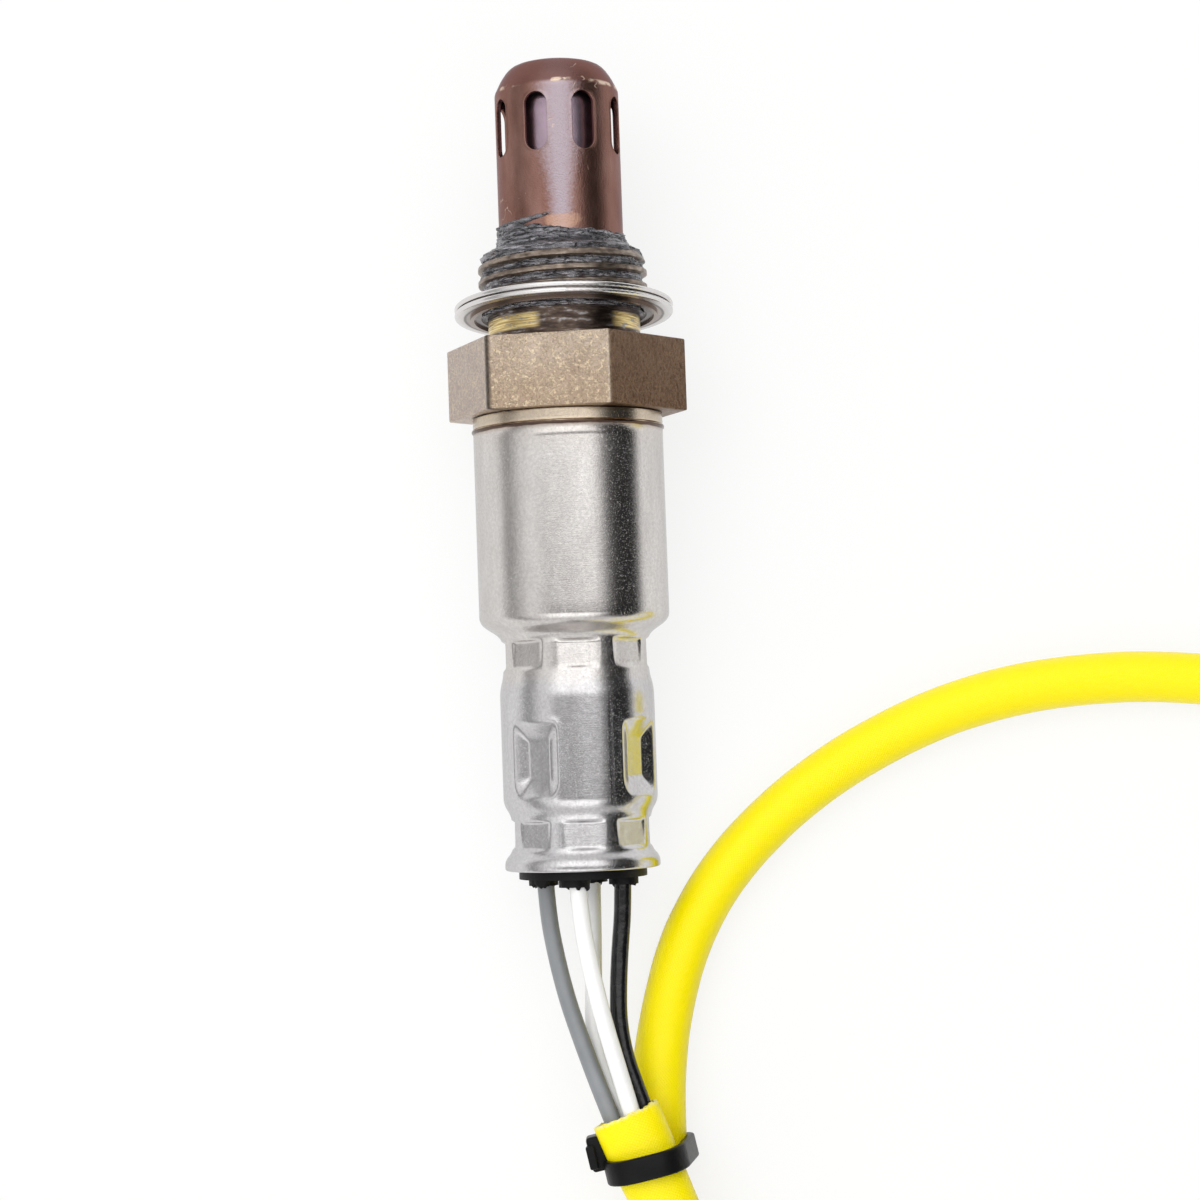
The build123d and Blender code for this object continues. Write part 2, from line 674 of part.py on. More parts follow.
inner_blade_r = WIRE_PITCH_R - BLADE_THICKNESS / 2
outer_blade_r = outer_contact_r + FIT
terminals = {
    "terminal_1": terminal(wire_turns[0], inner_blade_r, heater_foot_top, HEATER_R + FIT),
    "terminal_2": terminal(wire_turns[1], outer_blade_r, outer_blade_top, 0),
    "terminal_3": terminal(wire_turns[2], inner_blade_r, heater_foot_top, HEATER_R + FIT),
    "terminal_4": terminal(wire_turns[3], inner_blade_r, inner_foot_top, inner_contact_r + FIT),
}
for name, piece in terminals.items():
    hand_in(piece, name)


# ---- Lead: tubes along straight runs joined by arcs ------------------------------------------------------
ARC_SHARE = 0.45            # of the shorter run beside it, which an arc takes up


def corner_radii(points):
    """Largest arcs that the runs on both sides of each corner leave room for."""
    radii = []
    for before, corner, after in zip(points, points[1:], points[2:]):
        turn = (corner - before).get_angle(after - corner)
        shorter = min((corner - before).length, (after - corner).length)
        radii.append(ARC_SHARE * shorter / tan(radians(turn) / 2))
    return radii


def tube(name, points, radius):
    """Round cord along a route of points; prints its length and its arcs."""
    radii = corner_radii(points)
    with BuildPart() as piece:
        with BuildLine():
            route = FilletPolyline(*points, radius=radii)
        with BuildSketch(Plane(origin=points[0], z_dir=points[1] - points[0])):
            Circle(radius)
        sweep(path=route)
    length = sum(edge.length for edge in route.edges())
    print(f"{name}: length {length:.1f}, tightest arc {min(radii):.1f}, section {radius:.2f}")
    return piece


# The sleeve starts over the four wires in front of the grommet, crosses over its own far strand
# in the tie, makes one loop to the right on the table, comes back under itself through the tie
# and ends behind the plug.
SLEEVE_ROUTE = [
    Vector(3.5, -66.7, 9.9),
    Vector(8.6, -79.5, 9.9),
    Vector(15.5, -92.5, 4.6),
    Vector(28.0, -103.0, 2.9),
    Vector(46.0, -108.5, 2.9),
    Vector(66.0, -106.0, 2.9),
    Vector(84.5, -96.0, 2.9),
    Vector(97.0, -78.0, 2.9),
    Vector(100.5, -57.0, 2.9),
    Vector(94.0, -37.0, 2.9),
    Vector(79.0, -25.0, 2.9),
    Vector(60.5, -22.3, 2.9),
    Vector(42.5, -24.0, 2.9),
    Vector(25.0, -32.0, 2.9),
    Vector(12.0, -44.5, 2.9),
    Vector(7.0, -60.0, 4.1),
    Vector(6.6, -76.0, 4.1),
    Vector(4.6, -87.5, 2.9),
    Vector(2.9, -98.0, 5.0),
]
sleeve_start = SLEEVE_ROUTE[0]
sleeve_end = SLEEVE_ROUTE[-1]
start_heading = (SLEEVE_ROUTE[1] - sleeve_start).normalized()
end_heading = (sleeve_end - SLEEVE_ROUTE[-2]).normalized()


sleeve = tube("sleeve", SLEEVE_ROUTE, SLEEVE_R)
with BuildPart() as sleeve_tube:
    add(sleeve.part)
    with BuildSketch(square_to(sleeve_start, start_heading)):
        Circle(SLEEVE_BORE_R)
    extrude(amount=SLEEVE_MOUTH_DEPTH, mode=Mode.SUBTRACT)
    with BuildSketch(square_to(sleeve_end, end_heading)):
        Circle(SLEEVE_BORE_R)
    extrude(amount=-SLEEVE_MOUTH_DEPTH, mode=Mode.SUBTRACT)
hand_in(sleeve_tube, "sleeve")

# Each wire leaves its terminal, runs straight out of the grommet and eases into the sleeve.
WIRE_NAMES = ["wire_white_front", "wire_black", "wire_white_back", "wire_grey"]
WIRE_STRAIGHT = 5.8         # beyond the grommet's collar
WIRE_EASE = 6.0             # straight before the sleeve's mouth
PLUG_WIRE_EASE = 4.0        # straight beyond the sleeve's end
PLUG_WIRE_RUN = 5.0         # straight before the plug
BUNDLE_TURNS = [90.0, 0.0, -90.0, 180.0]

for name, turn, bundle_turn in zip(WIRE_NAMES, wire_turns, BUNDLE_TURNS):
    offset = (BUNDLE_R * cos(radians(bundle_turn)), BUNDLE_R * sin(radians(bundle_turn)))
    mouth = square_to(sleeve_start, start_heading)
    lane = mouth.from_local_coords(Vector(*offset, 0))
    route = [
        place(wire_top, turn, WIRE_PITCH_R),
        place(grommet_end - WIRE_STRAIGHT, turn, WIRE_PITCH_R),
        lane - start_heading * WIRE_EASE,
        lane + start_heading * (SLEEVE_MOUTH_DEPTH - FIT),
    ]
    hand_in(tube(name, route, WIRE_R), name)

# ---- Cable tie: one strap round both strands, with its head on the left --------------------------------
tie_heading = Vector(cos(radians(TIE_HEADING)), sin(radians(TIE_HEADING)), 0)
tie_upper = sleeve_start + (SLEEVE_ROUTE[1] - sleeve_start) * TIE_UPPER_SHARE
tie_lower = SLEEVE_ROUTE[-4] + (SLEEVE_ROUTE[-3] - SLEEVE_ROUTE[-4]) * TIE_LOWER_SHARE
tie_origin = Vector(tie_upper.X, tie_upper.Y, 0)
tie_plane = square_to(tie_origin, tie_heading)
tie_lower_x = tie_plane.to_local_coords(tie_lower).X


def tie_face(grow):
    """Hull round the two strands, grown outwards."""
    with BuildSketch(tie_plane) as shape:
        with Locations((-TIE_UPPER_SPREAD, tie_upper.Z), (TIE_UPPER_SPREAD, tie_upper.Z)):
            Circle(TIE_UPPER_R + LOOSE + grow)
        lower_places = [(tie_lower_x + s * TIE_LOWER_SPREAD, tie_lower.Z) for s in (-1, 1)]
        with Locations(*lower_places):
            Circle(TIE_LOWER_R + grow)
        make_hull()
    return shape.sketch


head_x = -TIE_UPPER_SPREAD - TIE_UPPER_R - LOOSE
head_z = (tie_upper.Z + tie_lower.Z) / 2

with BuildPart() as cable_tie:
    extrude(tie_face(TIE_THICKNESS), amount=TIE_WIDTH / 2, both=True)
    with BuildSketch(tie_plane):
        with Locations((head_x - TIE_HEAD_DEPTH / 2 + TIE_THICKNESS, head_z)):
            Rectangle(TIE_HEAD_DEPTH, TIE_HEAD_HEIGHT)
    extrude(amount=TIE_HEAD_WIDTH / 2, both=True)
    extrude(tie_face(0), amount=TIE_HEAD_WIDTH, both=True, mode=Mode.SUBTRACT)
hand_in(cable_tie, "cable_tie")

# ---- Plug ----------------------------------------------------------------------------------------------
plug_heading = Vector(cos(radians(PLUG_HEADING)), sin(radians(PLUG_HEADING)), 0)
plug_back = Vector(PLUG_X, PLUG_BACK_Y, PLUG_HEIGHT / 2 + PLUG_COLLAR)
plug_plane = square_to(plug_back, plug_heading)
mouth_plane = plug_plane.offset(PLUG_LENGTH)

with BuildPart() as plug_housing:
    with BuildSketch(plug_plane):
        RectangleRounded(PLUG_WIDTH, PLUG_HEIGHT, PLUG_CORNER)
    extrude(amount=PLUG_LENGTH)
    with BuildSketch(plug_plane):
        RectangleRounded(
            PLUG_WIDTH + 2 * PLUG_COLLAR, PLUG_HEIGHT + 2 * PLUG_COLLAR, PLUG_CORNER + PLUG_COLLAR
        )
    extrude(amount=PLUG_COLLAR_LENGTH)
    with BuildSketch(mouth_plane):
        RectangleRounded(
            PLUG_WIDTH - 2 * PLUG_WALL, PLUG_HEIGHT - 2 * PLUG_WALL, PLUG_CORNER - PLUG_WALL / 2
        )
    extrude(amount=-PLUG_MOUTH_DEPTH, mode=Mode.SUBTRACT)
    with BuildSketch(mouth_plane):
        with Locations((0, PLUG_HEIGHT / 2 + LATCH_HEIGHT / 2)):
            Rectangle(LATCH_WIDTH, LATCH_HEIGHT)
    extrude(amount=-LATCH_LENGTH)
    with BuildSketch(plug_plane):
        with GridLocations(POCKET_PITCH, POCKET_PITCH, 2, 2):
            Circle(POCKET_R)
    extrude(amount=POCKET_DEPTH, mode=Mode.SUBTRACT)
    with BuildSketch(plug_plane.offset(PLUG_LENGTH - PLUG_MOUTH_DEPTH)):
        with GridLocations(POCKET_PITCH, POCKET_PITCH, 2, 2):
            Rectangle(PIN_WIDTH + FIT, PIN_THICKNESS + FIT)
    extrude(amount=-PIN_ROOT, mode=Mode.SUBTRACT)
hand_in(plug_housing, "plug_housing")

pocket_places = [
    (x * POCKET_PITCH / 2, y * POCKET_PITCH / 2) for x, y in ((-1, 1), (1, 1), (-1, -1), (1, -1))
]
for number, (x, y) in enumerate(pocket_places, start=1):
    with BuildPart() as plug_pin:
        with BuildSketch(plug_plane.offset(PLUG_LENGTH - PLUG_MOUTH_DEPTH - PIN_ROOT + FIT)):
            with Locations((x, y)):
                Rectangle(PIN_WIDTH, PIN_THICKNESS)
        extrude(amount=PIN_ROOT + PIN_REACH)
        pin_tip = plug_pin.faces().sort_by(Axis(plug_back, plug_heading))[-1]
        chamfer(pin_tip.edges(), PIN_THICKNESS / 4)
    hand_in(plug_pin, f"plug_pin_{number}")

    with BuildPart() as plug_seal:
        with BuildSketch(plug_plane.offset(POCKET_DEPTH - SEAL_LENGTH)):
            with Locations((x, y)):
                Circle(POCKET_R - FIT - SEAL_RIB)
        extrude(amount=SEAL_LENGTH - FIT)
        for rib in range(SEAL_RIB_COUNT):
            rib_share = (rib + 0.5) / SEAL_RIB_COUNT
            rib_station = POCKET_DEPTH - SEAL_LENGTH * (1 - rib_share)
            with BuildSketch(plug_plane.offset(rib_station)):
                with Locations((x, y)):
                    Circle(POCKET_R - FIT)
            extrude(amount=SEAL_RIB, both=True)
        with BuildSketch(plug_plane):
            with Locations((x, y)):
                Circle(WIRE_R + FIT)
        extrude(amount=POCKET_DEPTH, mode=Mode.SUBTRACT)
    hand_in(plug_seal, f"plug_seal_{number}")

    # The wires keep their order: a wire on the left of the sleeve goes to the left of the plug.
    bundle_turn = degrees(atan2(y, x))
    outlet = square_to(sleeve_end, end_heading)
    lane = outlet.from_local_coords(
        Vector(BUNDLE_R * cos(radians(bundle_turn)), BUNDLE_R * sin(radians(bundle_turn)), 0)
    )
    pocket = plug_plane.from_local_coords(Vector(x, y, 0))
    route = [
        lane - end_heading * (SLEEVE_MOUTH_DEPTH - FIT),
        lane + end_heading * PLUG_WIRE_EASE,
        pocket - plug_heading * PLUG_WIRE_RUN,
        pocket + plug_heading * (POCKET_DEPTH - FIT),
    ]
    hand_in(tube(f"plug_wire_{number}", route, WIRE_R), f"plug_wire_{number}")
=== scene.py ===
"""Looks of the heated oxygen sensor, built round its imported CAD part.

Lengths are millimetres and become metres where they reach Blender.  A station is the distance
along the sensor's own axis from the seat, growing towards the tip.  A turn is an angle about that
axis in degrees from straight up, towards +X.  Both are those of the part's source.
"""

import json
from math import asin, cos, degrees, exp, hypot, pi, radians, sin, sqrt, tan

import bmesh
import bpy
from mathutils import Matrix, Vector, noise


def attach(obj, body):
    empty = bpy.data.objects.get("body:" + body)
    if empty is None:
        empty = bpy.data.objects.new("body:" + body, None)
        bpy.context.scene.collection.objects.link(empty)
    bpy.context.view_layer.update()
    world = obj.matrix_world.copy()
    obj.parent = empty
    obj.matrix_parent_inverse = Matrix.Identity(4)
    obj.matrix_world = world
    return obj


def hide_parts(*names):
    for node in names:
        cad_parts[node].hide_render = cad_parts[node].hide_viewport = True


MM = 0.001
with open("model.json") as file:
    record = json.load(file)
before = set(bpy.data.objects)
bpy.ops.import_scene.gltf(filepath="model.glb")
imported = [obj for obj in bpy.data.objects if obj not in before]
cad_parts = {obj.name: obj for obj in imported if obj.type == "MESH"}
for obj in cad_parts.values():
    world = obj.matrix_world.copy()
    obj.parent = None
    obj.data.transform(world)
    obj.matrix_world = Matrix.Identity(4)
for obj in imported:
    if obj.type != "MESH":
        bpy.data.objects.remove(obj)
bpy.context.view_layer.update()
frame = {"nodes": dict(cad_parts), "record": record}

# ---- Sizes ----
# These repeat the part's source, but for the lip and top of the shell, the weld, the jaws, the
# dents, the body's start and the sleeve, which were set closer to the photograph.
HEX_ACROSS_FLATS = 22.0
HEX_HEIGHT = 7.55
HEX_TURN = -9.0
NECK_R = 8.0
THREAD_R = 9.0
THREAD_START = 5.1
THREAD_END = 9.5
LIP_FOOT_R = 8.35
LIP_TOP_R = 6.9
SHELL_TOP = 10.25
OUTER_COVER_R = 6.55
OUTER_COVER_WALL = 0.5
OUTER_COVER_FOOT = 8.82
COVER_FLANGE_R = 7.6
SLOT_COUNT = 8
SLOT_WIDTH = 2.4
SLOT_LENGTH = 6.05
SLOT_STATION = 22.7
SLOT_TURN = -19.7
CASING_TOP = -7.58
CASING_WALL = 0.5
BARREL_R = 9.98
BARREL_END = -28.48
WELD_STATION = -9.0
WELD_BEAD_R = 0.2
CRIMP_R = 7.65
CRIMP_JAW_FACE = 7.28
CRIMP_START = -31.48
CRIMP_END = -33.78
BODY_R = 8.08
BODY_START = -37.15
BODY_END = -47.38
END_CRIMP_R = 7.3
END_CRIMP_JAW_FACE = 6.95
END_CRIMP_START = -50.08
END_CRIMP_END = -52.48
FLARE_R = 8.13
CASING_END = -54.98
JAW_COUNT = 8
JAW_TURN = 2.5
JAW_WIDTH = 4.1             # of the flat itself, between the ridges
JAW_LENGTH = 2.8
DENT_COUNT = 4
DENT_TURN = -35.2
DENT_STATION = -43.48
DENT_FLOOR = 7.0
DENT_FLOOR_WIDTH = 2.6
DENT_FLOOR_LENGTH = 3.5
GROMMET_FACE = -55.88
GROMMET_END = -56.68
WIRE_R = 0.9
WIRE_PITCH_R = 4.3
SLEEVE_R = 2.72

# ---- The sensor's own axes, from the thread's mount ----
thread_mount = next(
    mount for mount in frame["record"]["mounts"] if mount["name"] == "exhaust_thread")
ALONG = Vector(thread_mount["axis"]).normalized()
ACROSS = Vector((1.0, 0.0, 0.0))
UP = Vector((0.0, -ALONG.z, ALONG.y))
SEAT = Vector(thread_mount["pos_m"]) - ALONG * (THREAD_START + THREAD_END) / 2 * MM
SENSOR = Matrix.Translation(SEAT) @ Matrix((ACROSS, -UP, ALONG)).transposed().to_4x4()


def put(name, data):
    """New object in the scene."""
    piece = bpy.data.objects.new(name, data)
    bpy.context.collection.objects.link(piece)
    return piece


def polar(turn, distance, station):
    """Point in the sensor's own axes, in millimetres."""
    return Vector((distance * sin(radians(turn)), -distance * cos(radians(turn)), station))


# ---- Camera ----
CAMERA_PLACE = Vector((2.75, -48.84, 300.14))
CAMERA_LEAN = 6.97          # degrees from straight down, towards the tip
CAMERA_ROLL = 2.015         # degrees that the sensor leans left in the picture
CAMERA_LENS = 83.4
CAMERA_CLIP = 0.01
CAMERA_SENSOR = 36.0

camera_data = bpy.data.cameras.new("camera")
camera_data.lens = CAMERA_LENS
camera_data.sensor_width = CAMERA_SENSOR
camera_data.clip_start = CAMERA_CLIP
camera = put("camera", camera_data)
back = Vector((0.0, -sin(radians(CAMERA_LEAN)), cos(radians(CAMERA_LEAN))))
level_up = Vector((0.0, cos(radians(CAMERA_LEAN)), sin(radians(CAMERA_LEAN))))
image_up = level_up * cos(radians(CAMERA_ROLL)) + ACROSS * sin(radians(CAMERA_ROLL))
image_right = image_up.cross(back)
turn_of_camera = Matrix((image_right, image_up, back)).transposed().to_4x4()
camera.matrix_world = Matrix.Translation(CAMERA_PLACE * MM) @ turn_of_camera
bpy.context.scene.camera = camera
bpy.context.scene.view_settings.view_transform = "Standard"


# ---- Meshes ----
def add_mesh(name, skin, material, at=SENSOR, sharp=40.0):
    """Mesh object from a skin: points in millimetres, in the axes of at, and faces.

    Edges that bend by more than sharp degrees stay sharp.
    """
    points, faces = skin
    mesh = bpy.data.meshes.new(name)
    mesh.from_pydata([p * MM for p in points], [], faces)
    mesh.update()
    mesh.polygons.foreach_set("use_smooth", [True] * len(mesh.polygons))
    mesh.set_sharp_from_angle(angle=radians(sharp))
    mesh.materials.append(material)
    piece = put(name, mesh)
    piece.matrix_world = at
    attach(piece, "root")
    return piece


def wrap(rows):
    """Skin through closed rows of equally many points, from the last row back to the first.

    The rows run so that the faces look outwards.
    """
    count = len(rows[0])
    faces = []
    for i in range(len(rows)):
        a, b = i * count, (i + 1) % len(rows) * count
        for j in range(count):
            k = (j + 1) % count
            faces.append((a + j, a + k, b + k, b + j))
    return [point for row in rows for point in row], faces


def join(*skins):
    """One skin from several."""
    points, faces = [], []
    for more_points, more_faces in skins:
        base = len(points)
        points += more_points
        faces += [tuple(base + i for i in face) for face in more_faces]
    return points, faces


def run(radius, start, end, count):
    """Evenly spaced (radius, station) points of a straight stretch, without its start."""
    return [(radius, start + (end - start) * i / count) for i in range(1, count + 1)]


def lathe(profile, columns, radius_at=lambda turn, station, radius: radius):
    """Rows of a turned skin from (radius, station) pairs; radius_at may change each radius."""
    turns = [360 * j / columns for j in range(columns)]
    return [[polar(turn, radius_at(turn, station, radius), station) for turn in turns]
            for radius, station in profile]


def nearest_turn(turn, first, count):
    """Signed difference in degrees from the nearest of equally spaced turns."""
    pitch = 360 / count
    return (turn - first + pitch / 2) % pitch - pitch / 2


def ease(value):
    """Smooth step from 0 to 1."""
    value = min(max(value, 0.0), 1.0)
    return value * value * (3 - 2 * value)


def soft_min(a, b, reach):
    """Lesser of two numbers, rounded where they meet."""
    h = max(reach - abs(a - b), 0.0) / reach
    return min(a, b) - h * h * reach / 4


def speckle(x, y, z, size, layers=3):
    """Noise from about -1 to 1 whose features are size millimetres across."""
    return noise.fractal(Vector((x, y, z)) / size, 1.0, 2.0, layers)


# ---- Node graphs ----
in_hand = {}                # the tree, shader and material that new nodes go to


class Signal:
    """Output of a node; arithmetic on it adds Math nodes."""

    def __init__(self, socket):
        self.socket = socket

    def __add__(self, other):
        return maths("ADD", self, other)

    def __sub__(self, other):
        return maths("SUBTRACT", self, other)

    def __rsub__(self, other):
        return maths("SUBTRACT", other, self)

    def __mul__(self, other):
        return maths("MULTIPLY", self, other)

    def __truediv__(self, other):
        return maths("DIVIDE", self, other)

    def __abs__(self):
        return maths("ABSOLUTE", self)


def feed(socket, value):
    """Gives an input a signal, a number, or the three numbers of a colour or a vector."""
    if isinstance(value, Signal):
        in_hand["tree"].links.new(value.socket, socket)
    else:
        socket.default_value = (*value, 1.0) if socket.type == "RGBA" else value


def node(kind, output, inputs=(), **settings):
    """Adds a shader node to the tree in hand and returns one of its outputs."""
    made = in_hand["tree"].nodes.new("ShaderNode" + kind)
    for name, value in settings.items():
        setattr(made, name, value)
    for name, value in dict(inputs).items():
        feed(made.inputs[name], value)
    return Signal(made.outputs[output])


def maths(operation, *values, clamp=False):
    """Math node."""
    return node("Math", 0, enumerate(values), operation=operation, use_clamp=clamp)


def new_material(name, **shader_inputs):
    """Takes a new material with one Principled shader in hand."""
    material = bpy.data.materials.new(name)
    material.use_nodes = True
    tree = material.node_tree
    shader = tree.nodes["Principled BSDF"]
    in_hand.update(material=material, tree=tree, shader=shader)
    for key, value in shader_inputs.items():
        feed(shader.inputs[key.replace("_", " ")], value)


def dress(colour, roughness=None, height=None, depth=0.0):
    """Feeds the shader in hand, a height of 1 worth depth millimetres; returns the material."""
    inputs = in_hand["shader"].inputs
    feed(inputs["Base Color"], colour)
    if roughness is not None:
        feed(inputs["Roughness"], roughness)
    if height is not None:
        normal = node("Bump", "Normal", {
            "Height": height, "Distance": depth * MM, "Strength": 1.0,
        })
        feed(inputs["Normal"], normal)
        if inputs["Coat Weight"].default_value:
            feed(inputs["Coat Normal"], normal)
    return in_hand["material"]


def object_space(stretch=(1, 1, 1), turn=(0, 0, 0)):
    """Object coordinates in millimetres, stretched along their axes and turned."""
    return node("Mapping", "Vector", {
        "Vector": node("TexCoord", "Object"),
        "Scale": tuple(s / MM for s in stretch),
        "Rotation": turn,
    })


def fine_noise(scale, detail=4.0, roughness=0.55, stretch=(1, 1, 1), space=None):
    """Noise from 0 to 1 with features of 1 / scale millimetres."""
    return node("TexNoise", "Fac", {
        "Vector": space or object_space(stretch),
        "Scale": scale, "Detail": detail, "Roughness": roughness,
    })


def ramp(value, *stops):
    """Colour ramp through (position, colour) stops."""
    made = node("ValToRGB", "Color", {"Fac": value})
    elements = made.socket.node.color_ramp.elements
    while len(elements) < len(stops):
        elements.new(0.5)
    for element, (position, colour) in zip(elements, stops):
        element.position = position
        element.color = (*colour, 1.0)
    return made


def blend(amount, first, second, kind="MIX"):
    """Mixes two colours by an amount."""
    return node("Mix", 2, {0: amount, 6: first, 7: second},
                data_type="RGBA", blend_type=kind)


def layered(colour, *layers):
    """Paints layers (amount, colour, and a blend's kind unless it is plain) one over another."""
    for amount, over, *kind in layers:
        colour = blend(amount, colour, over, *kind)
    return colour


def span(value, low, high, kind="LINEAR"):
    """Turns low..high into 0..1, evenly and clamped."""
    return node("MapRange", "Result", {
        "Value": value, "From Min": low, "From Max": high,
    }, interpolation_type=kind)


def between(value, low, high):
    """Turns low..high into 0..1, smoothly and clamped."""
    return span(value, low, high, "SMOOTHSTEP")


def axis_value(axis, vector=None):
    """One coordinate of a vector, which is the place on the object unless it is given."""
    return node("SeparateXYZ", axis, {"Vector": vector or object_space()})


def turn_of():
    """Turn about the sensor's axis, in degrees."""
    return maths("DEGREES", maths("ARCTAN2", axis_value("X"), axis_value("Y") * -1.0))


def scratches(size, width, share, stretch=(1, 1, 1), turn=(0, 0, 0)):
    """Thin broken lines from 0 to 1; size is millimetres across one curl, share how many stay."""
    space = object_space(stretch, turn)
    away = abs(fine_noise(1 / size, 2.0, 0.5, space=space) - 0.5)
    keep = between(fine_noise(0.7 / size, 1.0, 0.5, space=space), 1 - share, 1.04 - share)
    return (1.0 - span(away, 0.0, width)) * keep


# ---- Cords, whose routes are followed by smooth curves ----
# The sensor's wires leave it where the part's source has them; their ends in the sleeve's mouth
# and the sleeve's height over the floor were set from the photograph.
SLEEVE_ROUTE = [
    (3.5, -66.7, 9.9), (8.6, -79.5, 9.9), (15.5, -92.5, 4.6), (28.0, -103.0, 2.75),
    (46.0, -108.5, 2.75), (66.0, -106.0, 2.75), (84.5, -96.0, 2.75), (97.0, -78.0, 2.75),
    (100.5, -57.0, 2.75), (94.0, -37.0, 2.75), (79.0, -25.0, 2.75), (60.5, -22.3, 2.75),
    (42.5, -24.0, 2.75), (25.0, -32.0, 2.75), (12.0, -44.5, 2.75), (7.0, -60.0, 4.1),
    (6.6, -76.0, 4.1), (4.6, -87.5, 2.75), (2.9, -98.0, 5.0),
]
WIRES = {                   # slot, route
    "wire_white_front": ("wire_white", [
        (-1.0, -28.0, 13.4), (-0.85, -43.6, 12.15), (0.9, -54.5, 11.6), (3.9, -65.6, 10.8),
        (6.2, -74.1, 10.4)]),
    "wire_black": ("wire_black", [
        (4.2, -27.8, 10.1), (4.3, -43.4, 8.9), (3.3, -52.0, 8.9), (3.1, -59.0, 9.2),
        (5.4, -66.1, 9.3), (8.0, -73.5, 9.3)]),
    "wire_white_back": ("wire_white", [
        (1.0, -27.4, 5.0), (0.9, -43.4, 3.85), (0.7, -53.0, 4.4), (0.4, -59.5, 6.4),
        (2.9, -66.0, 8.3), (6.4, -74.1, 8.4)]),
    "wire_grey": ("wire_grey", [
        (-4.2, -27.6, 8.2), (-4.3, -43.2, 7.0), (-2.7, -53.0, 7.0), (-0.4, -60.3, 8.2),
        (2.2, -67.5, 9.8), (5.0, -74.7, 9.9)]),
    "plug_wire_1": ("wire_grey", [
        (3.1, -89.9, 4.5), (1.2, -101.5, 6.8), (-0.6, -108.0, 10.85), (-0.6, -121.0, 10.85)]),
    "plug_wire_2": ("wire_black", [
        (5.2, -90.3, 4.5), (3.4, -101.8, 6.8), (4.6, -108.0, 10.85), (4.6, -121.0, 10.85)]),
    "plug_wire_3": ("wire_white", [
        (3.05, -90.3, 2.4), (1.2, -101.9, 4.7), (-0.6, -108.0, 5.65), (-0.6, -121.0, 5.65)]),
    "plug_wire_4": ("wire_white", [
        (5.2, -90.7, 2.4), (3.3, -102.2, 4.7), (4.6, -108.0, 5.65), (4.6, -121.0, 5.65)]),
}
CURVE_STEPS = 16            # from one control point to the next
CURVE_ORDER = 3
WIRE_ROUND = 6              # steps of a wire's rounding, as Blender counts them


def route_curve(name, route):
    """NURBS curve, with no thickness, whose control points are a route in millimetres."""
    curve = bpy.data.curves.new(name, "CURVE")
    curve.dimensions = "3D"
    curve.resolution_u = CURVE_STEPS
    spline = curve.splines.new("NURBS")
    spline.points.add(len(route) - 1)
    for point, place_mm in zip(spline.points, route):
        point.co = (*(Vector(place_mm) * MM), 1.0)
    spline.order_u = CURVE_ORDER
    spline.use_endpoint_u = True
    return put(name, curve)


def spline_points(curve):
    """Points in millimetres along a curve that has no thickness yet."""
    bpy.context.view_layer.update()
    seen = bpy.data.meshes.new_from_object(curve.evaluated_get(
        bpy.context.evaluated_depsgraph_get()))
    found = [vertex.co / MM for vertex in seen.vertices]
    bpy.data.meshes.remove(seen)
    return found


def length_of(found):
    """Length in metres of a line through points in millimetres."""
    return sum((b - a).length for a, b in zip(found, found[1:])) * MM


# ---- Materials ----
# The dark rings inside the rim are painted shade, deepest at the groove line and next to the
# neck.
GASKET_RINGS = [            # distance from its middle, colour
    (8.5, (0.05, 0.035, 0.03)), (9.3, (0.07, 0.05, 0.04)), (9.5, (0.22, 0.16, 0.13)),
    (10.3, (0.27, 0.21, 0.175)), (10.45, (0.06, 0.045, 0.04)), (10.58, (0.06, 0.045, 0.04)),
    (10.72, (0.56, 0.53, 0.51)), (11.3, (0.70, 0.68, 0.67)),
]
GASKET_RAMP = (8.0, 12.0)   # distances at the ramp's two ends
GASKET_MIDDLE = (0.0, 17.2457 * MM, 12.0813 * MM)
YARNS_ROUND = 51.0
YARN_PITCH = 0.36
BRAID_COAT = 0.4            # weight of the lacquer
WHITE = (1.0, 1.0, 1.0)


def casing_steel():
    """Satin pressed stainless: fine grain, faint lines round it, heat tint at the weld."""
    new_material("casing_steel", Metallic=1.0, Specular_Tint=(0.80, 0.80, 0.80))
    station = axis_value("Z")
    lines = fine_noise(1.0, 3.0, stretch=(0.5, 0.5, 9.0))
    grain = fine_noise(8.0, 4.0, 0.8)
    cloud = fine_noise(0.5, 3.0, stretch=(1.0, 1.0, 0.35))
    streaks = fine_noise(1.0, 5.0, 0.7, (2.2, 2.2, 0.12))
    steel = ramp(cloud * 0.8 + streaks * 0.2,
                 (0.36, (0.62, 0.588, 0.568)), (0.62, (0.70, 0.672, 0.652)))
    flecks = between(grain, 0.60, 0.78)
    mottle = between(fine_noise(3.2, 5.0, 0.75), 0.60, 0.42)
    # Heat tint about the weld; the last stop, a darker brown at the casing's upper edge, is
    # painted shade under the hexagon.
    tint = ramp(span(station + cloud * 0.3, -12.0, -7.0),
                (0.0, WHITE), (0.50, (0.99, 0.97, 0.95)),
                (0.56, (0.80, 0.72, 0.66)), (0.58, (0.17, 0.115, 0.095)),
                (0.635, (0.19, 0.13, 0.10)), (0.66, (1.1, 0.95, 0.74)),
                (0.73, (0.88, 0.78, 0.64)), (0.955, (0.85, 0.74, 0.58)),
                (0.985, (0.45, 0.33, 0.24)))
    tube = between(station, -34.2, -36.4)
    colour = layered(
        steel, (mottle * 0.30, (0.42, 0.40, 0.39)), (flecks * 0.7, (0.95, 0.94, 0.93)),
        (1.0, tint, "MULTIPLY"), (tube * 0.9, (0.93, 0.955, 1.0), "MULTIPLY"))
    height = lines * 0.2 + (grain * 0.5 + flecks)
    return dress(colour, cloud * 0.05 + 0.08 + grain * 0.06, height, 0.02)


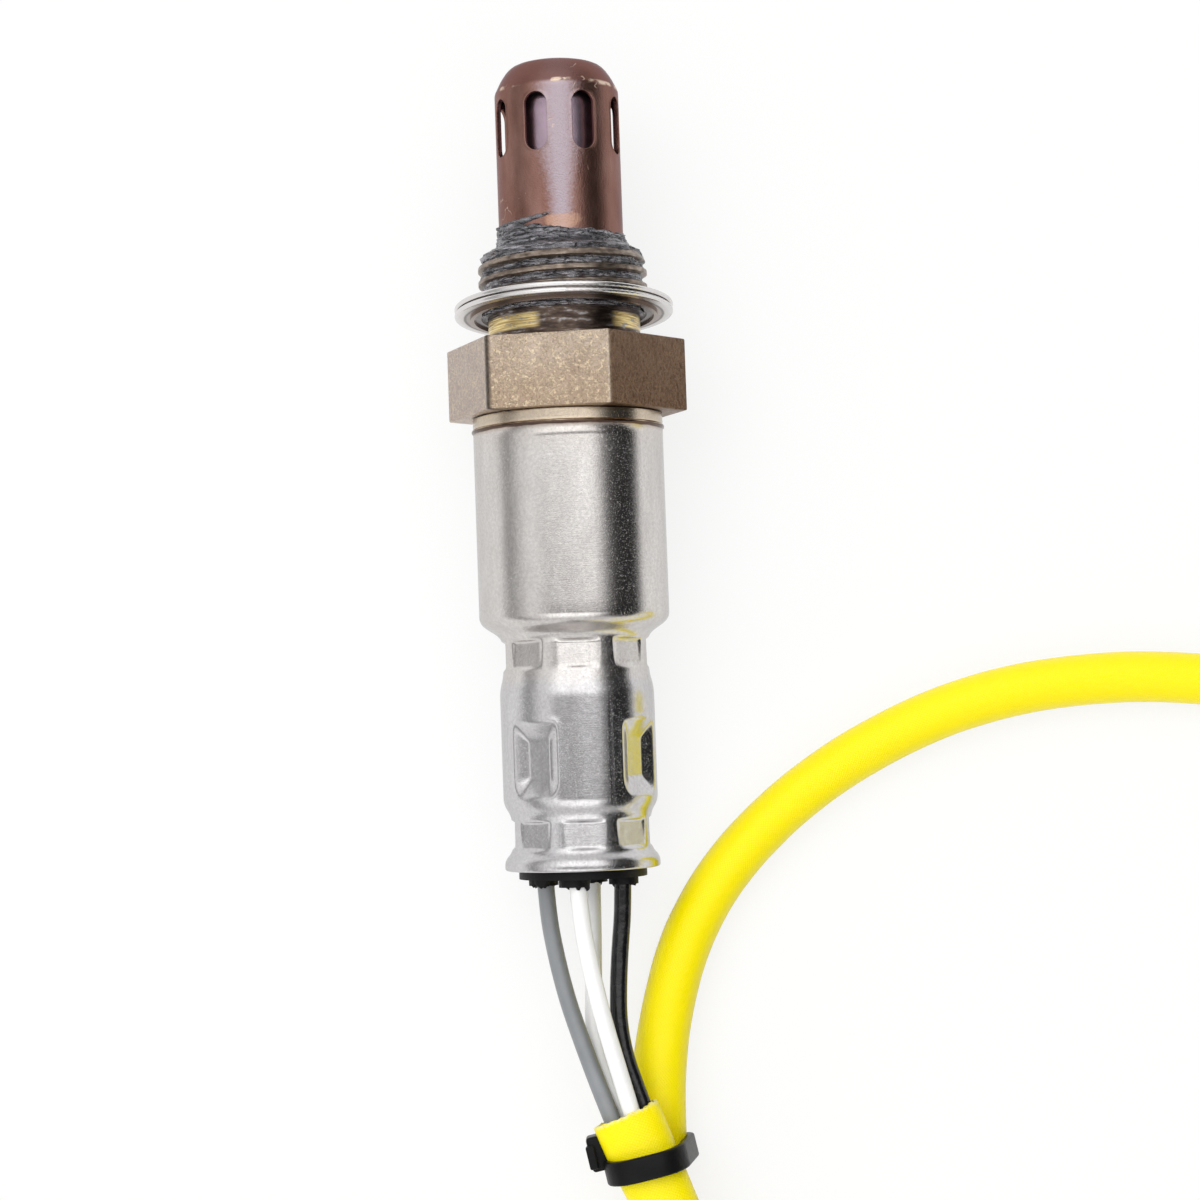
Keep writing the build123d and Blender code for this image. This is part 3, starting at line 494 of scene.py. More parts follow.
def hexagon_steel():
    """Satin steel stained brown, with golden scratches that are partly painted highlights, and
    painted light by flat.
    """
    new_material("hexagon_steel", Metallic=1.0)
    turn = turn_of()
    cloud = fine_noise(0.35)
    grain = fine_noise(5.0, 4.0, 0.65)
    dimples = fine_noise(2.0, 3.0)
    stain = ramp(cloud, (0.30, (0.42, 0.325, 0.255)), (0.52, (0.54, 0.435, 0.35)),
                 (0.72, (0.63, 0.52, 0.43)))
    # Golden scratch marks; they also stand in for the highlights of the flats' fine relief, so
    # they are part wear and part painted highlight.
    worn = maths("MAXIMUM", scratches(0.55, 0.05, 0.66),
                 scratches(0.4, 0.05, 0.55, (1.0, 1.0, 1.5), (0.3, 0.5, 0.9)))
    # Painted highlight along the corner at 21 degrees.
    ridge = maths("SUBTRACT", 0.2, span(abs(turn - 20.6), 0.3, 1.3), clamp=True)
    colour = layered(
        stain, (between(axis_value("Z"), -1.5, -7.0) * 0.6, (0.40, 0.28, 0.19)),
        # Painted reflection: the flats left of the corner at -39 degrees are greyed.
        (between(turn, -37.5, -40.5) * 0.7, (0.43, 0.37, 0.37)),
        (grain * 0.40, (0.33, 0.24, 0.18)), (worn * 0.62, (0.86, 0.70, 0.47)),
        # Painted shade: the flats right of the corner at 21 degrees are darkened.
        (between(turn, 19.5, 23.0), (0.36, 0.27, 0.21), "MULTIPLY"),
        # Painted dark line along the corner at -39 degrees.
        (1.0 - span(abs(turn + 39.0), 0.7, 2.1), (0.10, 0.08, 0.065)),
        (ridge, (0.95, 0.86, 0.76)))
    height = grain * 0.5 + dimples * 3.0 - worn * 0.5
    return dress(colour, 0.40 - worn * 0.14, height, 0.06)


def neck_steel():
    """Turned neck behind the gasket: a golden ring at its sides, dark paste and painted shade
    elsewhere.
    """
    new_material("neck_steel", Metallic=1.0)
    station, across = axis_value("Z"), axis_value("X")
    rings = fine_noise(1.0, 2.0, stretch=(0.3, 0.3, 8.0))
    gold = ramp(rings, (0.35, (0.46, 0.31, 0.12)), (0.65, (0.95, 0.78, 0.38)))
    smear = fine_noise(0.8, 5.0, 0.65, (0.6, 0.6, 2.6))
    sides = maths("MAXIMUM", between(across, -2.2, -3.2), between(across, 4.8, 5.4))
    # The ring's end at station 2.7 is partly painted shade: beyond it towards the tip the
    # gasket's shadow is painted dark along with the paste.
    ring = between(station, 0.9, 1.2) * between(station, 2.7, 2.4)
    bare = sides * ring * (1.0 - between(smear, 0.56, 0.64))
    dark = ramp(smear, (0.40, (0.055, 0.040, 0.034)), (0.56, (0.13, 0.095, 0.075)),
                (0.64, (0.36, 0.345, 0.35)))
    return dress(blend(bare, dark, gold), smear * 0.25 + 0.2, rings + smear, 0.05)


def thread_steel():
    """Dark brown thread steel in soft clouds, with a fine grain."""
    new_material("thread_steel", Metallic=0.9, Roughness=0.36)
    cloud = fine_noise(0.8, stretch=(1.0, 1.0, 2.5))
    colour = ramp(cloud, (0.32, (0.10, 0.075, 0.06)), (0.52, (0.24, 0.19, 0.155)),
                  (0.7, (0.42, 0.35, 0.29)))
    return dress(colour, None, fine_noise(4.0, 3.0), 0.03)


def thread_paste():
    """Dark anti-seize paste, wiped round the thread, dried and cracked."""
    new_material("thread_paste", Metallic=0.9)
    streaks = fine_noise(1.1, 5.0, 0.6, (0.32, 0.32, 3.4))
    grain = fine_noise(5.0, 4.0, 0.7)
    cracks = scratches(1.0, 0.05, 0.55, (0.45, 0.45, 2.2))
    body = ramp(streaks, (0.34, (0.050, 0.050, 0.056)), (0.50, (0.215, 0.208, 0.225)),
                (0.66, (0.50, 0.49, 0.52)))
    colour = layered(body, (grain * 0.3, (0.085, 0.083, 0.09)),
                     (cracks * 0.85, (0.02, 0.018, 0.018)))
    return dress(colour, grain * 0.25 + 0.16, streaks + grain * 0.4 - cracks * 0.5, 0.15)


def tinted_cover():
    """Drawn cover burnt brown, with scratches, a bare coppery patch and painted violet and crease
    highlights.
    """
    new_material("tinted_cover", Metallic=1.0, Specular_Tint=(0.70, 0.64, 0.66))
    station = axis_value("Z")
    cloud = fine_noise(0.45, stretch=(1.0, 1.0, 0.4))
    grain = fine_noise(6.0, 3.0)
    brown = ramp(cloud, (0.30, (0.21, 0.105, 0.083)), (0.52, (0.27, 0.145, 0.118)),
                 (0.72, (0.33, 0.19, 0.16)))
    # Painted highlight: a violet sheen along the cover's top, narrower towards the shell.
    narrow = abs(turn_of() - 1.6) * (between(station, 21.0, 12.0) + 1.0)
    painted_sheen = 1.0 - between(narrow + fine_noise(3.0, 4.0, 0.7) * 24.0, 14.0, 41.0)
    across = (axis_value("X") - 0.4) / 2.3
    above = (station - 12.1) / 0.95
    ragged = maths("SQRT", across * across + above * above) + fine_noise(1.2) * 1.1
    on_top = maths("LESS_THAN", axis_value("Y"), 0.0)
    bare = on_top * (1.0 - between(ragged, 1.15, 1.55))
    marks = scratches(2.6, 0.012, 0.36) * 0.8
    specks = between(fine_noise(2.2, 2.0), 0.755, 0.80) * 0.7
    # Painted highlight along the crease under the crown, broken into patches.
    crease = 1.0 - span(abs(station - 26.85), 0.12, 0.32)
    crease_highlight = crease * between(fine_noise(0.5), 0.50, 0.60)
    # worn holds the scratches, the specks and the crease's painted highlight.
    worn = maths("MAXIMUM", maths("MAXIMUM", marks, crease_highlight), specks)
    colour = layered(
        brown, (painted_sheen * 0.8, (0.42, 0.365, 0.415)),
        (between(station, 26.5, 27.0) * 0.85, (0.20, 0.092, 0.076)),
        (bare * 0.65, (0.52, 0.31, 0.215)), (worn, (0.74, 0.58, 0.46)))
    return dress(colour, cloud * 0.16 + 0.22, grain - worn, 0.03)


def ringed_gasket():
    """Folded strip, bright at its rim; inside the rim painted shade darkens it, most at a thin
    groove line.
    """
    new_material("bright_strip", Metallic=1.0)

    def vectors(operation, output, *values):
        return node("VectorMath", output, enumerate(values), operation=operation)

    place = node("NewGeometry", "Position")
    arm = vectors("SUBTRACT", 0, place, GASKET_MIDDLE)
    distance = vectors("LENGTH", "Value", vectors("CROSS_PRODUCT", 0, arm, tuple(ALONG / MM)))
    cloud = fine_noise(1 / MM * 0.9, 3.0, space=arm)
    low, high = GASKET_RAMP
    colour = ramp(span(distance + cloud * 0.12, low, high),
                  *[((reach - low) / (high - low), level) for reach, level in GASKET_RINGS])
    return dress(colour, cloud * 0.14 + 0.16)


def plain_steel(name, colour, roughness):
    """Steel of one colour with a fine grain and soft clouds."""
    new_material(name, Metallic=1.0)
    cloud = fine_noise(0.6)
    dark = tuple(level * 0.78 for level in colour)
    return dress(ramp(cloud, (0.3, dark), (0.65, colour)), cloud * 0.12 + roughness,
                 fine_noise(5.0, 3.0), 0.012)


def plain_matter(name, colour, roughness, grain_size=0.4, depth=0.02, spread=0.15, **inputs):
    """Rubber, plastic or ceramic of one colour with a fine grain and soft clouds."""
    new_material(name, **inputs)
    low = tuple(level * (1 - spread) for level in colour)
    high = tuple(min(level * (1 + spread), 1.0) for level in colour)
    grain = fine_noise(1 / grain_size, 3.0)
    return dress(ramp(fine_noise(0.25, 3.0), (0.3, low), (0.7, high)),
                 grain * 0.1 + (roughness - 0.05), grain, depth)


def scuffed_black():
    """Glossy black insulation, scuffed dull here and there."""
    new_material("scuffed_black", IOR=1.5)
    cloud = fine_noise(0.9)
    colour = blend(scratches(0.7, 0.10, 0.45) * 0.10, (0.006, 0.006, 0.007), (0.10, 0.10, 0.105))
    return dress(colour, cloud * 0.12 + 0.10, cloud, 0.07)


def lacquered_braid():
    """Yellow glass-fibre braid under clear lacquer, pale where its end is cut."""
    new_material("lacquered_braid", Roughness=0.42, Specular_IOR_Level=0.08,
                 Coat_Weight=BRAID_COAT, Coat_Roughness=0.14)
    weave = node("Attribute", "Vector", attribute_name="braid")
    along = axis_value("Y", weave)
    turns = axis_value("X", weave) * YARNS_ROUND
    travel = along / YARN_PITCH + fine_noise(1.3, 3.0) * 0.9
    over = (abs(maths("SINE", (turns + travel) * pi))
            * abs(maths("SINE", (turns - travel) * pi)))
    body = ramp(over, (0.0, (0.95, 0.77, 0.0)), (0.5, (1.0, 0.865, 0.0)))
    cut = 1.0 - between(along, 0.05, 0.42)
    fluff = cut * between(fine_noise(3.0, 2.0), 0.3, 0.6)
    colour = blend(fluff * 0.7, body, (0.86, 0.80, 0.42))
    return dress(colour, None, over + fine_noise(5.0, 3.0) * 0.35, 0.022)


steel_casing = casing_steel()
steel_hexagon = hexagon_steel()
steel_neck = neck_steel()
steel_thread = thread_steel()
paste_grey = thread_paste()
cover_brown = tinted_cover()
spring_steel = plain_steel("spring_steel", (0.50, 0.50, 0.50), 0.3)
contact_metal = plain_steel("plated_contact", (0.72, 0.66, 0.52), 0.25)
black_rubber = plain_matter("black_rubber", (0.006, 0.006, 0.0065), 0.5, 0.3, 0.04,
                            Specular_IOR_Level=0.18)
white_ceramic = plain_matter("fired_ceramic", (0.82, 0.80, 0.76), 0.35, 0.3, 0.02, 0.05)
white_sheath = plain_matter("white_insulation", (0.92, 0.92, 0.91), 0.33, 0.5, 0.02, 0.03)
grey_sheath = plain_matter("grey_insulation", (0.235, 0.245, 0.255), 0.34, 0.4, 0.03, 0.08)
black_sheath = scuffed_black()
braid_yellow = lacquered_braid()
nylon_black = plain_matter("black_nylon", (0.006, 0.006, 0.0065), 0.36, 0.5, 0.03,
                           Specular_IOR_Level=0.14)

CAD_LOOKS = [
    (plain_steel("tinted_inner_cover", (0.36, 0.27, 0.33), 0.24), "inner_cover"),
    (ringed_gasket(), "gasket"),
    (black_rubber, "grommet"),
    (plain_matter("coated_ceramic", (0.74, 0.71, 0.66), 0.4, 0.2, 0.02, 0.08), "sensing_element"),
    (plain_matter("pressed_talc", (0.62, 0.62, 0.58), 0.9, 0.15, 0.05, 0.1), "talc_ring"),
    (white_ceramic, "heater_rod pressure_ring separator"),
    (spring_steel, "packing_washer crimp_ring spring_washer"),
    (contact_metal, "outer_contact inner_contact terminal_1 terminal_2 terminal_3 terminal_4 "
                    "plug_pin_1 plug_pin_2 plug_pin_3 plug_pin_4"),
    (plain_matter("moulded_plastic", (0.010, 0.010, 0.011), 0.4, 0.12, 0.02,
                  Specular_IOR_Level=0.2), "plug_housing"),
    (plain_matter("brown_seal_rubber", (0.20, 0.07, 0.04), 0.5),
     "plug_seal_1 plug_seal_2 plug_seal_3 plug_seal_4"),
]
for look, names in CAD_LOOKS:
    for name in names.split():
        for material_slot in frame["nodes"][name].material_slots:
            material_slot.material = look


# ---- Casing ----
CASING_COLUMNS = 288
JAW_SIDE_SOFT = 0.50        # run-out of a crimping jaw's side edges
JAW_END_SOFT = 0.40
JAW_TAPER = 0.055           # a flat leans this much of its length towards the tip
EDGE_SOFT = 0.10            # rounding between a pressed face and the tube
DENT_SIDE_RUN = 1.42        # of a dent's slanting sides and ends, over the tube
DENT_END_RUN = 2.2
DENT_TOP_SQUARE = 4.5       # 2 rounds an end's corners off, more keeps them square
DENT_FOOT_SQUARE = 2.3
DENT_CREASE = 0.15          # rounding of the crease round a dent's floor
DENT_LIP = 0.06             # raised line round a dent
DENT_LIP_WIDTH = 0.24
DENT_LIP_OFFSET = 0.04
DENT_LENGTH_REACH = 4.0     # beyond the floor's end, and degrees to a side, nothing is dented
DENT_TURN_REACH = 43.0
CASING_LIFT = 0.12          # of the casing's upper edge under the hexagon
BEAD_STEPS = 12             # of the weld bead, from its upper foot to its lower one
BEAD_RISE = 0.8             # its height over its half width
RIM_STEP = 20               # degrees between points round the flared end's edge
INSIDE_SHARE = 0.3          # of the outside's rows are enough inside
WELD_SIDE = 0.3             # from the weld's middle to the plain barrel under it
CASING_STRETCHES = [        # radius, start, end, rows along it, rows of the curve after it
    (BARREL_R, WELD_STATION - WELD_SIDE, BARREL_END, 16, 26),
    (CRIMP_R, CRIMP_START, CRIMP_END, 18, 20),
    (BODY_R, BODY_START, BODY_END, 64, 20),
    (END_CRIMP_R, END_CRIMP_START, END_CRIMP_END, 18, 20),
    (FLARE_R, CASING_END + CASING_WALL, None, 0, 0),
]


def press_curve(r0, s0, r1, s1, count):
    """Points of a press-formed change of radius and station."""
    middle = (s0 + s1) / 2
    found = []
    for i in range(1, count + 1):
        t = i / count
        u = 1 - t
        station = s0 * u**3 + 3 * middle * u * u * t + 3 * middle * u * t * t + s1 * t**3
        found.append((r0 * u * u * (1 + 2 * t) + r1 * t * t * (3 - 2 * t), station))
    return found


def jaw_cut(turn, station, radius):
    """Radius after the crimping jaws: each leaves a flat with short run-outs."""
    for middle, face in (((CRIMP_START + CRIMP_END) / 2, CRIMP_JAW_FACE),
                         ((END_CRIMP_START + END_CRIMP_END) / 2, END_CRIMP_JAW_FACE)):
        along = abs(station - middle)
        if along > JAW_LENGTH:
            continue
        off = radians(nearest_turn(turn, JAW_TURN, JAW_COUNT))
        across = abs(face * tan(off))
        flat = (face - JAW_TAPER * (station - middle)) / cos(off)
        inside = ease((JAW_WIDTH / 2 - across) / JAW_SIDE_SOFT + 0.5)
        inside *= ease((JAW_LENGTH / 2 - along) / JAW_END_SOFT + 0.5)
        radius -= max(radius - soft_min(radius, flat, EDGE_SOFT), 0.0) * inside
    return radius


def dent_cut(turn, station, radius):
    """Radius after the four dents: a small flat floor, slanting sides and a thin raised lip."""
    off = radians(nearest_turn(turn, DENT_TURN, DENT_COUNT))
    along = abs(station - DENT_STATION) - DENT_FLOOR_LENGTH / 2
    if along > DENT_LENGTH_REACH or abs(off) > radians(DENT_TURN_REACH):
        return radius
    floor_r = DENT_FLOOR / cos(off)
    across = abs((floor_r + radius) / 2 * sin(off)) - DENT_FLOOR_WIDTH / 2
    side_share = max(across, 0.0) / DENT_SIDE_RUN
    end_share = max(along, 0.0) / DENT_END_RUN
    square = DENT_TOP_SQUARE if station > DENT_STATION else DENT_FOOT_SQUARE
    share = (side_share**square + end_share**square) ** (1 / square)
    lip = DENT_LIP * exp(-(((1 - share) * DENT_SIDE_RUN + DENT_LIP_OFFSET) / DENT_LIP_WIDTH) ** 2)
    eased = (hypot(share, DENT_CREASE) - DENT_CREASE) / (hypot(1, DENT_CREASE) - DENT_CREASE)
    reach = floor_r + max(radius - floor_r, 0.0) * eased
    return soft_min(radius, reach, EDGE_SOFT) + lip


def casing_radius(turn, station, radius):
    return dent_cut(turn, station, jaw_cut(turn, station, radius))


def casing_profile(inset, density):
    """Points of the casing's side from its top to its flared end, moved inwards by an inset."""
    def many(count):
        return max(int(count * density), 2)

    barrel, top = BARREL_R - inset, CASING_TOP - CASING_LIFT
    points = [(barrel, top)]
    points += run(barrel, top, WELD_STATION + WELD_BEAD_R + 0.05, many(7))
    if inset == 0:
        for i in range(BEAD_STEPS + 1):
            offset = -WELD_BEAD_R + i * WELD_BEAD_R * 2 / BEAD_STEPS
            bead = sqrt(max(WELD_BEAD_R**2 - offset**2, 0.0))
            points.append((barrel + bead * BEAD_RISE, WELD_STATION - offset))
    for here, there in zip(CASING_STRETCHES, CASING_STRETCHES[1:]):
        radius, start, end, straight, curved = here
        points += run(radius - inset, start, end, many(straight))
        points += press_curve(radius - inset, end, there[0] - inset, there[1], many(curved))
    return points


def inside_radius(turn, station, radius):
    return casing_radius(turn, station, radius + CASING_WALL) - CASING_WALL


half = CASING_WALL / 2
rim = [(FLARE_R - half + half * cos(radians(a)), CASING_END + half - half * sin(radians(a)))
       for a in range(0, 181, RIM_STEP)]
rows = lathe(casing_profile(0.0, 1.0) + rim, CASING_COLUMNS, casing_radius)
rows += lathe(casing_profile(CASING_WALL, INSIDE_SHARE)[::-1], CASING_COLUMNS, inside_radius)
casing = add_mesh("pressed_casing", wrap(rows), steel_casing, sharp=70.0)
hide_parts("casing")

# ---- Shell: hexagon, neck and screw thread ----
SHELL_COLUMNS = 360
THREAD_PITCH = 1.5
THREAD_DEPTH = 0.88
THREAD_PHASE = 0.35
THREAD_ROWS = 84
THREAD_CREST = 0.10         # share of a ridge's half that is its flat crest
THREAD_FLANK = 0.78
THREAD_RUN_IN = 0.5         # over which the ridges rise from the neck, and end at the lip
THREAD_RUN_OUT = 0.25
CREST_WEAR = 0.1            # off every crest, and off the last ones, from a station over a run
END_WEAR = 0.55
END_WEAR_START = 8.1
END_WEAR_RUN = 1.4
EDGE = 0.16                 # rounding of the hexagon's edges
SPIGOT_R = 9.45
SPIGOT_FOOT = -12.58
TAIL_R = 7.6
SHELL_FOOT = -16.18
THROAT_R = 4.6
WELL_R = 6.2
LEDGE_STATION = 1.6
COVER_HOLE_R = 6.58
POCKET_R = 7.63
POCKET_TOP = 9.35
POCKET_FLOOR = 8.36


def shell_radius(turn, station, radius):
    """Radius of the shell: six flats on the hexagon, a helix on the thread."""
    if -HEX_HEIGHT - 0.01 <= station <= 0.01 and radius > SPIGOT_R + 0.1:
        off = radians(nearest_turn(turn, HEX_TURN, 6))
        return (radius - HEX_ACROSS_FLATS / 2) + HEX_ACROSS_FLATS / 2 / cos(off)
    if THREAD_START <= station <= THREAD_END and radius > NECK_R:
        phase = (station / THREAD_PITCH - turn / 360 + THREAD_PHASE) % 1.0
        height = min(max((abs(phase - 0.5) * 2 - THREAD_CREST) / THREAD_FLANK, 0.0), 1.0)
        fade = ease((station - THREAD_START) / THREAD_RUN_IN)
        fade *= ease((THREAD_END - station) / THREAD_RUN_OUT + 0.5)
        worn = END_WEAR * ease((station - END_WEAR_START) / END_WEAR_RUN) + CREST_WEAR
        return radius - max(THREAD_DEPTH * (1 - ease(height) * fade), worn)
    return radius


AF = HEX_ACROSS_FLATS / 2
outside_profile = (
    [(COVER_HOLE_R, POCKET_TOP), (COVER_HOLE_R, SHELL_TOP), (LIP_TOP_R - 0.1, SHELL_TOP)]
    + [(LIP_TOP_R, SHELL_TOP - 0.1), (LIP_FOOT_R, THREAD_END + 0.02), (THREAD_R, THREAD_END)]
    + run(THREAD_R, THREAD_END, THREAD_START, THREAD_ROWS)
    + [(NECK_R, THREAD_START - 0.25), (NECK_R, 2.5), (NECK_R, 0.12), (NECK_R + 0.12, 0.0)]
    + [(AF - 1.2, 0.0), (AF - EDGE, 0.0), (AF - EDGE * 0.3, -EDGE * 0.3), (AF, -EDGE)]
    + run(AF, 0.0, -HEX_HEIGHT, 6)[:-1]
    + [(AF, -HEX_HEIGHT + EDGE), (AF - EDGE * 0.3, -HEX_HEIGHT + EDGE * 0.3)]
    + [(AF - EDGE, -HEX_HEIGHT), (AF - 1.2, -HEX_HEIGHT), (SPIGOT_R, -HEX_HEIGHT)]
    + [(SPIGOT_R, SPIGOT_FOOT), (TAIL_R, SPIGOT_FOOT), (TAIL_R, SHELL_FOOT)]
    + [(WELL_R, SHELL_FOOT), (WELL_R, LEDGE_STATION), (THROAT_R, LEDGE_STATION)]
    + [(THROAT_R, POCKET_FLOOR), (POCKET_R, POCKET_FLOOR), (POCKET_R, POCKET_TOP)]
)
shell = add_mesh("threaded_shell", wrap(lathe(outside_profile, SHELL_COLUMNS, shell_radius)),
                 steel_hexagon, sharp=35.0)
for look in (steel_neck, steel_thread):
    shell.data.materials.append(look)
for face in shell.data.polygons:
    station = face.center.z / MM
    distance = hypot(face.center.x, face.center.y) / MM
    if station > THREAD_START - 0.1:
        face.material_index = 2
    elif station > 0.02 and distance > THROAT_R + 1:
        face.material_index = 1
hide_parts("hex_shell")

# ---- Anti-seize paste on the thread, its cone and the foot of the cover ----
PASTE_COLUMNS = 300
PASTE_FOOT = 3.1
PASTE_TOP = 13.6
PASTE_ROWS = 120
PASTE_ON_COVER = 0.34       # thickest on each of the three surfaces
PASTE_ON_CONE = 0.22
PASTE_IN_THREAD = 0.62
PASTE_FILLET = 0.35         # over which it thins out above the shell's lip
PASTE_SINK = 0.45           # of its unseen inner side into the cover's wall
PASTE_SOFT = 0.16           # over which its edge rises
PASTE_THIN = 0.05
PASTE_DIP = 0.4             # under the metal where there is none
PASTE_EDGE = [(-180, 11.5), (-110, 12.2), (-72, 12.45), (-40, 12.05), (-18, 11.85), (8, 11.3),
              (53, 11.25), (73, 11.3), (120, 11.6), (180, 11.5)]
TONGUE = [(-100, 12.3, 12.6), (-60, 12.1, 12.62), (-36, 12.05, 12.72), (-14, 12.6, 13.0),
          (-7, 13.05, 13.08)]   # turn, lower and upper edge of the wisp above the edge


def between_knots(knots, at):
    """Values on the straight lines between knots, or None beyond them."""
    for (left, *before), (right, *after) in zip(knots, knots[1:]):
        if left <= at <= right:
            share = (at - left) / (right - left)
            return [a + (b - a) * share for a, b in zip(before, after)]
    return None


def paste_radius(turn, station, _radius):
    """Outside of the paste; it dips under the metal where there is none."""
    turn = nearest_turn(turn, 0, 1)
    x, y = 7 * sin(radians(turn)), 7 * cos(radians(turn))
    coarse = speckle(x, y, station * 2.2, 2.2)
    fine = speckle(x + 9, y, station * 3.0, 0.7, 4)
    if station > SHELL_TOP:
        fillet = exp(-(station - SHELL_TOP) / PASTE_FILLET)
        base, thick = OUTER_COVER_R + (LIP_TOP_R - OUTER_COVER_R) * fillet, PASTE_ON_COVER
    elif station > THREAD_END:
        up = (station - THREAD_END) / (SHELL_TOP - THREAD_END)
        base, thick = LIP_FOOT_R + (LIP_TOP_R - LIP_FOOT_R) * up, PASTE_ON_CONE
    else:
        base, thick = THREAD_R - THREAD_DEPTH, PASTE_IN_THREAD
    edge = between_knots(PASTE_EDGE, turn)[0] + 0.16 * coarse + 0.14 * fine
    inside = edge - station
    tongue = between_knots(TONGUE, turn)
    if tongue:
        lower, upper = tongue
        middle = (lower + upper) / 2
        inside = max(inside, (upper - lower) / 2 - abs(station - middle) + 0.05 * fine)
    cover = min(max(inside / PASTE_SOFT, -1.0), 1.0)
    level = thick * (0.55 + 0.45 * coarse) + 0.16 * fine
    return base + cover * (max(level, PASTE_THIN) if cover > 0 else PASTE_DIP)


paste_profile = [(0, PASTE_TOP)] + run(0, PASTE_TOP, PASTE_FOOT, PASTE_ROWS)
rows = lathe(paste_profile, PASTE_COLUMNS, paste_radius)
inner_r = OUTER_COVER_R - PASTE_SINK
rows += lathe([(inner_r, PASTE_FOOT), (inner_r, PASTE_TOP)], PASTE_COLUMNS)
add_mesh("thread_paste", wrap(rows), paste_grey, sharp=60.0)

# ---- Outer cover with its eight slots ----
SECTOR_COLUMNS = 24
SLOT_SIDES = 20
SLOT_RINGS = 5
SLOT_MARGIN = 0.4           # of plain wall above and below a slot inside its sector
LIP_RISE = 0.05             # of the pressed edge round a slot
WELD_REACH = 0.004
COVER_SHARP = 50
sector = 360 / SLOT_COUNT
cover_columns = SECTOR_COLUMNS * SLOT_COUNT
zone_low = SLOT_STATION - SLOT_LENGTH / 2 - SLOT_MARGIN
zone_high = SLOT_STATION + SLOT_LENGTH / 2 + SLOT_MARGIN


def sector_border():
    """Points (share of the sector from -1 to 1, station) once round a sector's border."""
    corners = [(-1, zone_low), (1, zone_low), (1, zone_high), (-1, zone_high), (-1, zone_low)]
    border = []
    for (u0, s0), (u1, s1), count in zip(corners, corners[1:], [SECTOR_COLUMNS, SLOT_SIDES] * 2):
        border += [(u0 + (u1 - u0) * i / count, s0 + (s1 - s0) * i / count)
                   for i in range(count)]
    return border


def slot_outline(grow):
    """Points (x, station) of the slot grown by an amount, matched with the border's points."""
    half = SLOT_WIDTH / 2 + grow
    straight = (SLOT_LENGTH - SLOT_WIDTH) / 2
    found = []
    for way in (-1, 1):
        for i in range(SECTOR_COLUMNS):
            a = radians(45 + 90 * i / SECTOR_COLUMNS)
            found.append((way * half * cos(a), SLOT_STATION + way * (straight + half * sin(a))))
        for i in range(SLOT_SIDES):
            x, rise = slot_flank(half, straight, i / SLOT_SIDES)
            found.append((-way * x, SLOT_STATION - way * rise))
    return found


def slot_flank(half, straight, share):
    """Point on the slot's flank, from its middle: end of an arc, straight side, other arc."""
    arc = half * radians(45)
    at = share * 2 * (arc + straight) - arc
    if at < 0:
        return half * cos(at / half), half * sin(at / half) - straight
    if at < 2 * straight:
        return half, at - straight
    a = (at - 2 * straight) / half
    return half * cos(a), half * sin(a) + straight


COVER_SHAPE = [             # radius, station of the corner and crown
    (6.55, 26.4), (6.53, 26.65), (6.47, 26.85), (6.37, 27.05), (6.20, 27.4), (5.95, 27.9),
    (5.68, 28.35), (5.38, 28.78), (5.1, 29.1), (4.75, 29.38), (4.35, 29.57), (3.8, 29.72),
    (3.0, 29.83), (2.2, 29.88), (1.4, 29.91), (0.7, 29.93),
]


def cover_profile(inset):
    """Points (radius, station) of a cover's corner and crown, moved inwards by an inset."""
    return [(radius - inset * min(1, radius / 5), station - inset * ease((station - 26.2) / 1.3))
            for radius, station in COVER_SHAPE]


